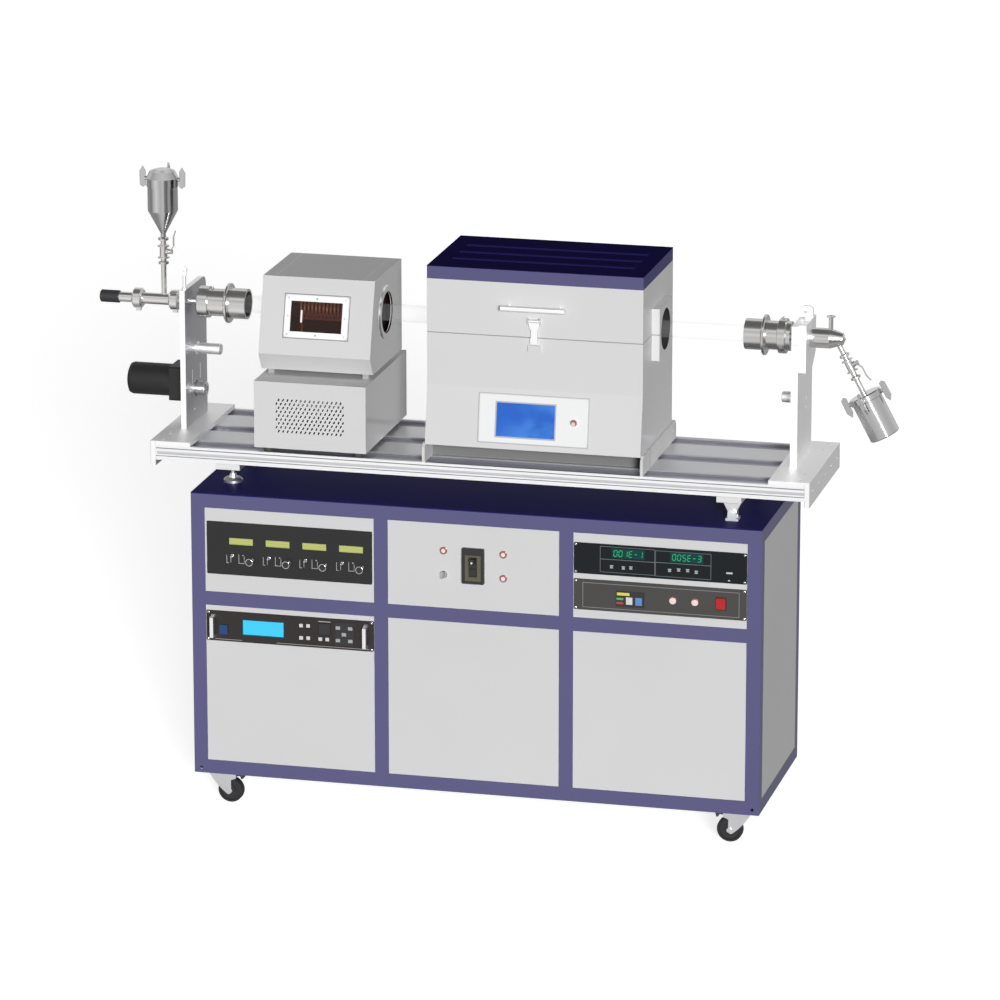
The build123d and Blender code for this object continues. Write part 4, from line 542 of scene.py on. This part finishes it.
# Painted shade makes the slot's recess near black; pale lines along the face's lower lip and above the recess
# are painted highlights.
recess_shade = rectangle(rf_face, slot_x, slot_z, 36, 35.5)
lip_highlight = rectangle(rf_face, -722.5, 506.5, 79, 1.6) + rectangle(rf_face, -442.5, 506.5, 275, 1.6)
recess_edge_highlight = rectangle(rf_face, slot_x, 580, 36, 2.2)
marked = rf_face.mix(recess_shade, rf_face.tone, (0.006, 0.006, 0.006))
marked = rf_face.mix(lip_highlight * 0.5 + recess_edge_highlight * 0.7, marked, (0.7, 0.7, 0.7))
rf_face.set(Base_Color=rf_face.mix(rim, rf_face.mix(screen, marked, blue), (0.0, 0.12, 0.16)),
            Emission_Color=rf_face.mix(screen, (0, 0, 0), blue), Emission_Strength=0.15)
dress(rf_face, "rf_generator")
gauge_face = face_finish("gauge_face", (0.0048, 0.0070, 0.0095), 0.35)
left_digits, right_digits, digit_level = 448, 616, 841.8
digit_windows = (rectangle(gauge_face, left_digits, digit_level, 94, 28, 0.0012)
                 + rectangle(gauge_face, right_digits, digit_level, 94, 28, 0.0012))
fields = (outline(gauge_face, 446, 822.6, 156.5, 74.4) + outline(gauge_face, 606, 821, 158.5, 73.6)
          + rectangle(gauge_face, 446, 823, 156, 1.6) + rectangle(gauge_face, 606, 824, 158, 1.6))
marked = gauge_face.mix(fields * 0.5, gauge_face.tone, (0.35, 0.42, 0.46))
gauge_face.set(Base_Color=gauge_face.mix(digit_windows, marked, (0.004, 0.045, 0.045)))
dress(gauge_face, "vacuum_gauge")
pump_face = face_finish("pump_face", (0.068, 0.066, 0.064))
field = outline(pump_face, 542.3, 715, 448.6, 71.6, 1.4)
pump_face.set(Base_Color=pump_face.mix(field * 0.45, pump_face.tone, (0.6, 0.6, 0.6)))
dress(pump_face, "pump_controller")

# %% [markdown]
# ## Lamps, key and buttons
#
# The pilot lamps have milky lenses in coloured rings. Distance from the lamp's own middle parts
# lens from ring, so the same finish serves all of them.

# %% Lamps
lamp_places = [(-87, 815), (87, 815), (87, 744.5), (577.1, 714.7), (640.2, 713.7)]
cabinet_lens, instrument_lens = 0.0062, 0.0095
lamp_finish = Finish("pilot_lamp")
ring = 1.0
for lamp_x, lamp_z in lamp_places:
    from_middle = lamp_finish.node("ShaderNodeVectorMath", {"operation": "DISTANCE"}, {
        0: lamp_finish.node("ShaderNodeCombineXYZ", {}, {"X": lamp_finish.x, "Z": lamp_finish.z}),
        1: (lamp_x * MM, 0, lamp_z * MM)}, "Value")
    lens_edge = cabinet_lens if lamp_x < 100 else instrument_lens
    ring = lamp_finish.above(from_middle, lens_edge, 0.0006) * ring
lamp_finish.set(Base_Color=lamp_finish.mix(ring, (0.80, 0.66, 0.62), (0.34, 0.12, 0.11)),
                Emission_Color=lamp_finish.mix(ring, (0.8, 0.6, 0.55), (0, 0, 0)), Emission_Strength=0.18,
                Roughness=0.22)
dress(lamp_finish, "pilot_lamps")
button_finish = Finish("furnace_button")
button_middle, button_radius = (0.280, 0, 1.198), 0.006
spread = button_finish.node("ShaderNodeVectorMath", {"operation": "DISTANCE"}, {
    0: button_finish.node("ShaderNodeCombineXYZ", {}, {"X": button_finish.x, "Z": button_finish.z}),
    1: button_middle}, "Value")
outside = button_finish.above(spread, button_radius, 0.0006)
button_colour = button_finish.mix(outside, (0.80, 0.62, 0.60), (0.33, 0.12, 0.12))
button_finish.set(Base_Color=button_colour, Roughness=0.25)
dress(button_finish, "furnace_button")
dress(bright_metal, "key_switch")

# %% [markdown]
# ## The furnace's control panel and its lid
#
# The control panel is a white plate around a blue touch screen with a lighter cloud in its lower
# right. The lid's cover is enamelled like the frame, and its top is painted darker than its sides:
# painted shade.

# %% Panel and cover
panel_finish = Finish("control_panel")
touch_middle = (141, 1198)
touch = rectangle(panel_finish, *touch_middle, 168, 94, 0.0006)
cloud = panel_finish.noise(9, (1, 1, 1.4), 5)
corner = panel_finish.above(panel_finish.x - panel_finish.z + 1.198, 0.13, 0.09)
blue_screen = panel_finish.mix(panel_finish.above(cloud, 0.5, 0.12) * corner, (0.010, 0.11, 0.52),
                               (0.05, 0.22, 0.70))
border = rectangle(panel_finish, *touch_middle, 176, 102, 0.0006) - touch
white_plate = panel_finish.mix(border, (0.88, 0.885, 0.89), (0.50, 0.51, 0.53))
panel_finish.set(Base_Color=panel_finish.mix(touch, white_plate, blue_screen), Roughness=0.3,
                 Emission_Color=panel_finish.mix(touch, (0, 0, 0), blue_screen), Emission_Strength=0.1)
dress(panel_finish, "control_panel")
cover_finish = paint("cover_enamel", enamel, 0.45, sheen=0.0)
cover_top = 1.6245
on_top = cover_finish.above(cover_finish.z, cover_top, 0.0008)
# Painted shade: the cover's top takes a darker copy of the enamel.
cover_finish.set(Base_Color=cover_finish.mix(on_top, enamel, (0.017, 0.013, 0.085)))
dress(cover_finish, "lid_cover")

# %% [markdown]
# ## Tools for the small pieces
#
# A small piece is one of three shapes: a sheet or key with softened edges, a turned piece spun from
# its profile, or a repeat of one of these. Each tool ends with an object whose place is in its mesh.

# %% Shaping tools
def deselect():
    bpy.ops.object.select_all(action="DESELECT")


def block(middle, size, edge=0.6):
    """A box with softened edges; sizes in millimetres."""
    deselect()
    bpy.ops.mesh.primitive_cube_add(size=1, location=Vector(middle) * MM)
    piece = bpy.context.object
    piece.scale = Vector(size) * MM
    bpy.ops.object.transform_apply(location=True, rotation=False, scale=True)
    soft = piece.modifiers.new("soft_edge", "BEVEL")
    soft.width, soft.segments = min(edge, min(size) * 0.4) * MM, 2
    bpy.ops.object.modifier_apply(modifier=soft.name)
    return piece


def turned(profile, middle=(0, 0, 0)):
    """A turned piece on an axis towards the operator: profile gives (height, radius) in millimetres."""
    deselect()
    mesh = bpy.data.meshes.new("turned")
    points = [(radius * MM, -height * MM, 0) for height, radius in profile]
    mesh.from_pydata(points, [(i, i + 1) for i in range(len(points) - 1)], [])
    piece = bpy.data.objects.new("turned", mesh)
    bpy.context.scene.collection.objects.link(piece)
    bpy.context.view_layer.objects.active = piece
    piece.select_set(True)
    bpy.ops.object.mode_set(mode="EDIT")
    bpy.ops.mesh.select_all(action="SELECT")
    bpy.ops.mesh.spin(steps=28, angle=tau, center=(0, 0, 0), axis=(0, 1, 0))
    bpy.ops.mesh.select_all(action="SELECT")
    bpy.ops.mesh.remove_doubles(threshold=0.00001)
    bpy.ops.mesh.normals_make_consistent(inside=False)
    bpy.ops.object.mode_set(mode="OBJECT")
    mesh.transform(Matrix.Translation(Vector(middle) * MM))
    bpy.ops.object.shade_smooth_by_angle(angle=radians(35))
    return piece


def repeat(piece, places):
    """One piece of its own mesh at each place, given as a way from the first in millimetres."""
    made = []
    for place in places:
        copy = piece.copy()
        copy.data = piece.data.copy()
        copy.data.transform(Matrix.Translation(Vector(place) * MM))
        bpy.context.scene.collection.objects.link(copy)
        made.append(copy)
    bpy.data.objects.remove(piece)
    return made


def finished(name, body, finish, pieces):
    """Joins pieces into one with a name, a finish and a body to ride on."""
    deselect()
    for piece in pieces:
        piece.select_set(True)
    bpy.context.view_layer.objects.active = pieces[0]
    if len(pieces) > 1:
        bpy.ops.object.join()
    piece = bpy.context.view_layer.objects.active
    piece.name = name
    piece.data.name = name
    piece.data.materials.clear()
    piece.data.materials.append(finish.material)
    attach(piece, body)
    print(name, len(piece.data.polygons), "faces")
    return piece


# %% [markdown]
# ## Screws of the instruments
#
# Each rack instrument is held by four cross-head screws at the corners of its face. One screw is
# turned with a domed head and a recess, and its repeats stand at the corners of the three faces.

# %% Rack screws
face_y = -279
corner_x, corner_z = 242.3, 39.7
rack_faces = ((-540, 546), (540, 822), (540, 716))
screw = turned([(0, 3.6), (1.2, 3.5), (2.0, 2.6), (2.2, 1.3), (1.3, 0.9), (1.2, 0)], (0, face_y, 0))
finished("rack_screws", "cabinet", bright_metal, repeat(screw, [
    (x_mid + side * corner_x, 0, z_mid + level * corner_z)
    for x_mid, z_mid in rack_faces for side in (-1, 1) for level in (-1, 1)]))

# %% [markdown]
# ## Switches and knobs of the gas flow controller
#
# Every channel has a small toggle with a round bright end, and a black knob. A thin turned ring
# edges the front of each knob, and each ring turns with its own knob.

# %% Toggles and knob rings
toggle = turned([(0, 4.6), (1.6, 4.6), (2.0, 4.0), (2.0, 2.0), (3.4, 1.7), (9, 2.0), (10, 2.9), (12, 3.3),
                 (14, 2.6), (15, 0)], (-26, face_y, 757.8))
finished("flow_toggles", "cabinet", bright_metal,
         repeat(toggle, [(x_mid, 0, 0) for x_mid in channel_x]))
for number, x_mid in enumerate(channel_x, start=1):
    low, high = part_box(f"mfc_knob_{number}")
    knob_middle = [(a + b) / 2 / MM for a, b in zip(low, high)]
    cap = turned([(0, 8.8), (0, 10.8), (0.5, 11.0), (0.9, 10.4), (0.9, 9.2), (0.5, 8.8), (0, 8.8)],
                 (knob_middle[0], low[1] / MM, knob_middle[2]))
    finished(f"knob_cap_{number}", f"mfc_knob_{number}", bright_metal, [cap])

# %% [markdown]
# ## Keys of the radio-frequency generator
#
# Six pale rounded keys stand right of the screen, and a raised dark keypad with five grey keys
# beyond them. All keys are moulded plastic, pressed from behind.

# %% Generator keys
pale_plastic = plastic("pale_plastic", (0.72, 0.72, 0.72), 0.4)
grey_plastic = plastic("grey_plastic", (0.42, 0.42, 0.43), 0.45)
key_places = ((-507, 564), (-486, 564.5), (-507, 527.5), (-486, 528), (-450, 527.7), (-429.5, 528))
key_size = (11, 3, 10.5)
finished("generator_keys", "cabinet", pale_plastic, [
    block((x, face_y - 1, z), key_size, 1.1) for x, z in key_places])
pad_places = ((-397.7, 565), (-361.2, 565), (-380, 546), (-397.7, 527.5), (-361.2, 527.5))
# The keypad piece also holds a thin black sheet over the slot's recess: painted shade as a dark sheet.
finished("generator_keypad", "cabinet", black_plastic, [
    block((-378.7, face_y - 0.5, 547), (55.6, 1.8, 67.3), 0.8),
    block((slot_x, face_y - 0.3, slot_z), (33, 1.4, 32), 0.5)])
finished("keypad_keys", "cabinet", grey_plastic, [
    block((x, face_y - 1.8, z), (13, 2.2, 10), 1.0) for x, z in pad_places])

# %% [markdown]
# ## Digits of the vacuum gauge
#
# Both windows show a number in green seven-segment figures. A figure is seven bars, each lit or
# not: the table says which bars a figure lights, and the bars lean a little, as on real displays.

# %% Gauge digits
bars_of = {"0": "abcdef", "1": "bc", "3": "abcdg", "5": "acdfg", "E": "adefg", "-": "g"}
digit_height, digit_width, digit_step, slant = 17.0, 9.0, 14.5, 0.1
bar_places = {"a": (0, 1, 1), "b": (1, 0.5, 0), "c": (1, -0.5, 0), "d": (0, -1, 1), "e": (-1, -0.5, 0),
              "f": (-1, 0.5, 0), "g": (0, 0, 1)}
segments = []
for window_x, text in ((left_digits, "001E-1"), (right_digits, "005E-3")):
    for place, figure in enumerate(text):
        for bar in bars_of[figure]:
            across, up, level = bar_places[bar]
            z = up * digit_height / 2
            x = window_x + (place - (len(text) - 1) / 2) * digit_step + across * digit_width / 2 + slant * z
            size = (digit_width - 2, 0.5, 2) if level else (2, 0.5, digit_height / 2 - 2)
            segments.append(block((x, face_y - 0.2, digit_level + z), size, 0.2))
digit_glow = Finish("digit_glow")
flicker = digit_glow.noise(120, detail=1)
lit_green = digit_glow.mix(flicker, (0.012, 0.30, 0.11), (0.03, 0.42, 0.17))
digit_glow.set(Base_Color=lit_green, Emission_Color=lit_green, Emission_Strength=0.45, Roughness=0.4)
finished("gauge_digits", "cabinet", digit_glow, segments)

# %% [markdown]
# ## Symbols under the digits
#
# Small printed symbols stand in the lower fields of the gauge. Each is a pair of short pale bars.

# %% Gauge symbols
symbols = ((400.4, 802), (434.4, 801), (455.8, 802.4), (567.1, 803), (593.1, 806), (618.7, 806),
           (643.6, 803))
print_white = plastic("print_white", (0.55, 0.62, 0.64), 0.5)
finished("gauge_symbols", "cabinet", print_white, [
    block((x, face_y - 0.1, z + shift), (width, 0.5, 2.2), 0.15)
    for x, z in symbols for shift, width in ((3.2, 10), (0, 7), (-3.2, 9))] + [
    block((738, face_y - 0.1, 806.6), (18, 0.5, 5), 0.15),
    block((737, face_y - 0.1, 785), (6, 0.5, 4), 0.15)])

# %% [markdown]
# ## Keypad of the pump controller
#
# The keypad is a dark foil with coloured keys: yellow, green, red, white and blue. The rocker
# switch at the right sits in a black surround.

# %% Pump keypad
finished("pump_keypad", "cabinet", black_plastic, [
    block((454.5, face_y - 0.4, 710.5), (82.6, 1.2, 46.9), 0.5),
    block((714.5, face_y - 0.6, 716), (33, 1.6, 39.5), 0.7)])
key_colours = (("yellow", (0.80, 0.70, 0.10), (434.7, 724.5, 36, 8.3)),
               ("green", (0.10, 0.50, 0.12), (425, 710.2, 19.8, 6)),
               ("red", (0.55, 0.05, 0.03), (425, 697.8, 19.8, 7)),
               ("white", (0.75, 0.75, 0.75), (451.9, 705.3, 18.4, 21.3)),
               ("blue", (0.12, 0.28, 0.60), (479, 705, 19.1, 22.3)))
for word, colour, (x, z, width, height) in key_colours:
    finished(f"pump_key_{word}", "cabinet", plastic(f"key_{word}", colour, 0.4),
             [block((x, face_y - 1.1, z), (width, 1.4, height), 0.6)])

# %% [markdown]
# ## The breaker's label
#
# An olive label surrounds the breaker's lever, with a black square below it.

# %% Breaker label
breaker_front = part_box("breaker_box")[0][1] / MM
olive = plastic("olive_label", (0.105, 0.095, 0.055), 0.5)
toggle_low, toggle_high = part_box("breaker_toggle")
lever_z = (toggle_low[2] + toggle_high[2]) / 2 / MM
finished("breaker_label", "cabinet", olive, [
    block((side * 17.5, breaker_front - 0.3, 770.5), (11, 1.2, 76), 0.5) for side in (-1, 1)]
    + [block((0, breaker_front - 0.3, z), (25, 1.2, height), 0.5) for z, height in ((738.5, 12), (805.5, 6))])
finished("breaker_square", "cabinet", knob_plastic,
         [block((0, breaker_front - 0.5, 757.5), (22, 2, 21), 0.8)])
# A pale disc on the lever's end is a painted highlight.
finished("lever_highlight_spot", "breaker_toggle", pale_plastic, [
    turned([(0, 3.2), (0.6, 3.0), (0.8, 2.0), (0.8, 0)], (0, toggle_low[1] / MM, lever_z))])

# %% [markdown]
# ## Bolts of the window frame
#
# The frame of the plasma window leans back with the front of its box. Its bolts are turned on the
# upright axis first, and the finished set is leaned by the same angle.

# %% Window bolts
window_lean, frame_middle = radians(15.66), (box_middle, -172.9, 1444.8)
bolt = turned([(0, 2.6), (0.9, 2.5), (1.4, 1.8), (1.0, 1.2), (1.0, 0)])
bolts = repeat(bolt, [(x, 0, z) for x in (-84, 0, 84) for z in (-52, 0, 52) if x or z])
lean = Matrix.Translation(Vector(frame_middle) * MM) @ Matrix.Rotation(-window_lean, 4, "X")
for piece in bolts:
    piece.data.transform(lean)
dark_steel = metal("dark_steel", (0.32, 0.32, 0.33), 0.3, "none")
finished("window_bolts", "platform", dark_steel, bolts)

# %% [markdown]
# ## The room
#
# Metal looks like what it reflects. For glossy rays the world is a plain studio: a bright wall all
# round, a dark ceiling and a grey floor, which give turned parts their light and dark bands. The
# object itself is lit by a weak even sky and one large key lamp, and a straight look past it shows
# plain white.

# %% World
world = bpy.data.worlds.new("studio")
bpy.context.scene.world = world
world.use_nodes = True
sky = world.node_tree
sky.nodes.clear()


def sky_node(kind, out=0, **values):
    """Adds one node of the world; values are numbers, colours or other sockets by input number."""
    made = sky.nodes.new(kind)
    for key, value in values.items():
        socket = made.inputs[int(key[1:])]
        if isinstance(value, bpy.types.NodeSocket):
            sky.links.new(value, socket)
        else:
            socket.default_value = value
    return made, made.outputs[out]


heading = sky_node("ShaderNodeTexCoord", "Generated")[1]
height = sky_node("ShaderNodeSeparateXYZ", "Z", _0=heading)[1]
share = sky_node("ShaderNodeMapRange", 0, _0=height, _1=-1.0, _2=1.0)[1]
ramp, tone = sky_node("ShaderNodeValToRGB", 0, _0=share)
levels = ((0.0, 0.12), (0.25, 0.3), (0.38, 0.7), (0.5, 0.85), (0.62, 0.8), (0.72, 0.55), (0.86, 0.95),
          (0.91, 0.2), (1.0, 0.14))
while len(ramp.color_ramp.elements) < len(levels):
    ramp.color_ramp.elements.new(1)
for stop, (position, level) in zip(ramp.color_ramp.elements, levels):
    stop.position, stop.color = position, (level, level, level, 1)
ways = sky.nodes.new("ShaderNodeLightPath").outputs
ambient = sky_node("ShaderNodeBackground", _0=(1, 1, 1, 1), _1=0.10)[1]
walls = sky_node("ShaderNodeBackground", _0=tone, _1=1.0)[1]
backdrop = sky_node("ShaderNodeBackground", _0=(1, 1, 1, 1), _1=1.0)[1]
reflected = sky_node("ShaderNodeMixShader", _0=ways["Is Glossy Ray"], _1=ambient, _2=walls)[1]
straight = sky.nodes.new("ShaderNodeMath")
straight.operation = "MAXIMUM"
sky.links.new(ways["Is Camera Ray"], straight.inputs[0])
sky.links.new(ways["Is Transmission Ray"], straight.inputs[1])
seen = sky_node("ShaderNodeMixShader", _0=straight.outputs[0], _1=reflected, _2=backdrop)[1]
sky.links.new(seen, sky.nodes.new("ShaderNodeOutputWorld").inputs[0])

key_lamp = bpy.data.lights.new("key", "SUN")
key_lamp.energy, key_lamp.angle = 3.1, radians(14)
key = bpy.data.objects.new("key", key_lamp)
key_direction = Vector((0.37, -0.90, 0.22))
key.rotation_euler = key_direction.to_track_quat("Z", "Y").to_euler()
bpy.context.scene.collection.objects.link(key)

# %% [markdown]
# ## The floor
#
# A pale floor takes the soft shadow of the machine. Most of its white is its own glow, so the
# shadow stays light. In reflections it has pale and dark strips that run away from the machine,
# like the lamps and gaps of a studio, and upright turned parts get their bands from them.

# %% Floor
bpy.ops.object.select_all(action="DESELECT")
bpy.ops.mesh.primitive_plane_add(size=70, location=(0, 0, 0))
floor = bpy.context.object
floor.name = "floor"
ground = Finish("floor")
rays = ground.node("ShaderNodeLightPath", {}, {}, "Is Camera Ray")
through = ground.node("ShaderNodeLightPath", {}, {}, "Is Transmission Ray")
mirrored = ground.node("ShaderNodeLightPath", {}, {}, "Is Glossy Ray")
straight_on = rays.maths("MAXIMUM", rays, through)
heading_out = ground.node("ShaderNodeVectorMath", {"operation": "NORMALIZE"}, {0: ground.place})
sideways = ground.node("ShaderNodeSeparateXYZ", {}, {0: heading_out}, "X")
in_front = 1 - ground.above(ground.y, -0.5, 0.5)
grey_levels = ((0.0, 0.2), (0.05, 0.6), (0.18, 1.0), (0.3, 0.8), (0.45, 0.62), (0.62, 0.8), (0.7, 0.25),
               (0.84, 0.12), (0.93, 0.5), (1.0, 0.25))
bands = ground.node("ShaderNodeValToRGB", {"stops": [(at, (level,) * 3) for at, level in grey_levels]},
                    {0: sideways * 0.5 + 0.5})
strips = ground.mix(in_front, (0.33, 0.33, 0.33), bands)
ground.set(Base_Color=ground.mix(straight_on, (0.18, 0.18, 0.18), (0.8, 0.8, 0.8)),
           Emission_Color=ground.mix(straight_on, ground.mix(mirrored, (0, 0, 0), strips), (0.8, 0.8, 0.8)),
           Emission_Strength=1.0, Roughness=1.0, Specular_IOR_Level=0.0)
floor.data.materials.append(ground.material)
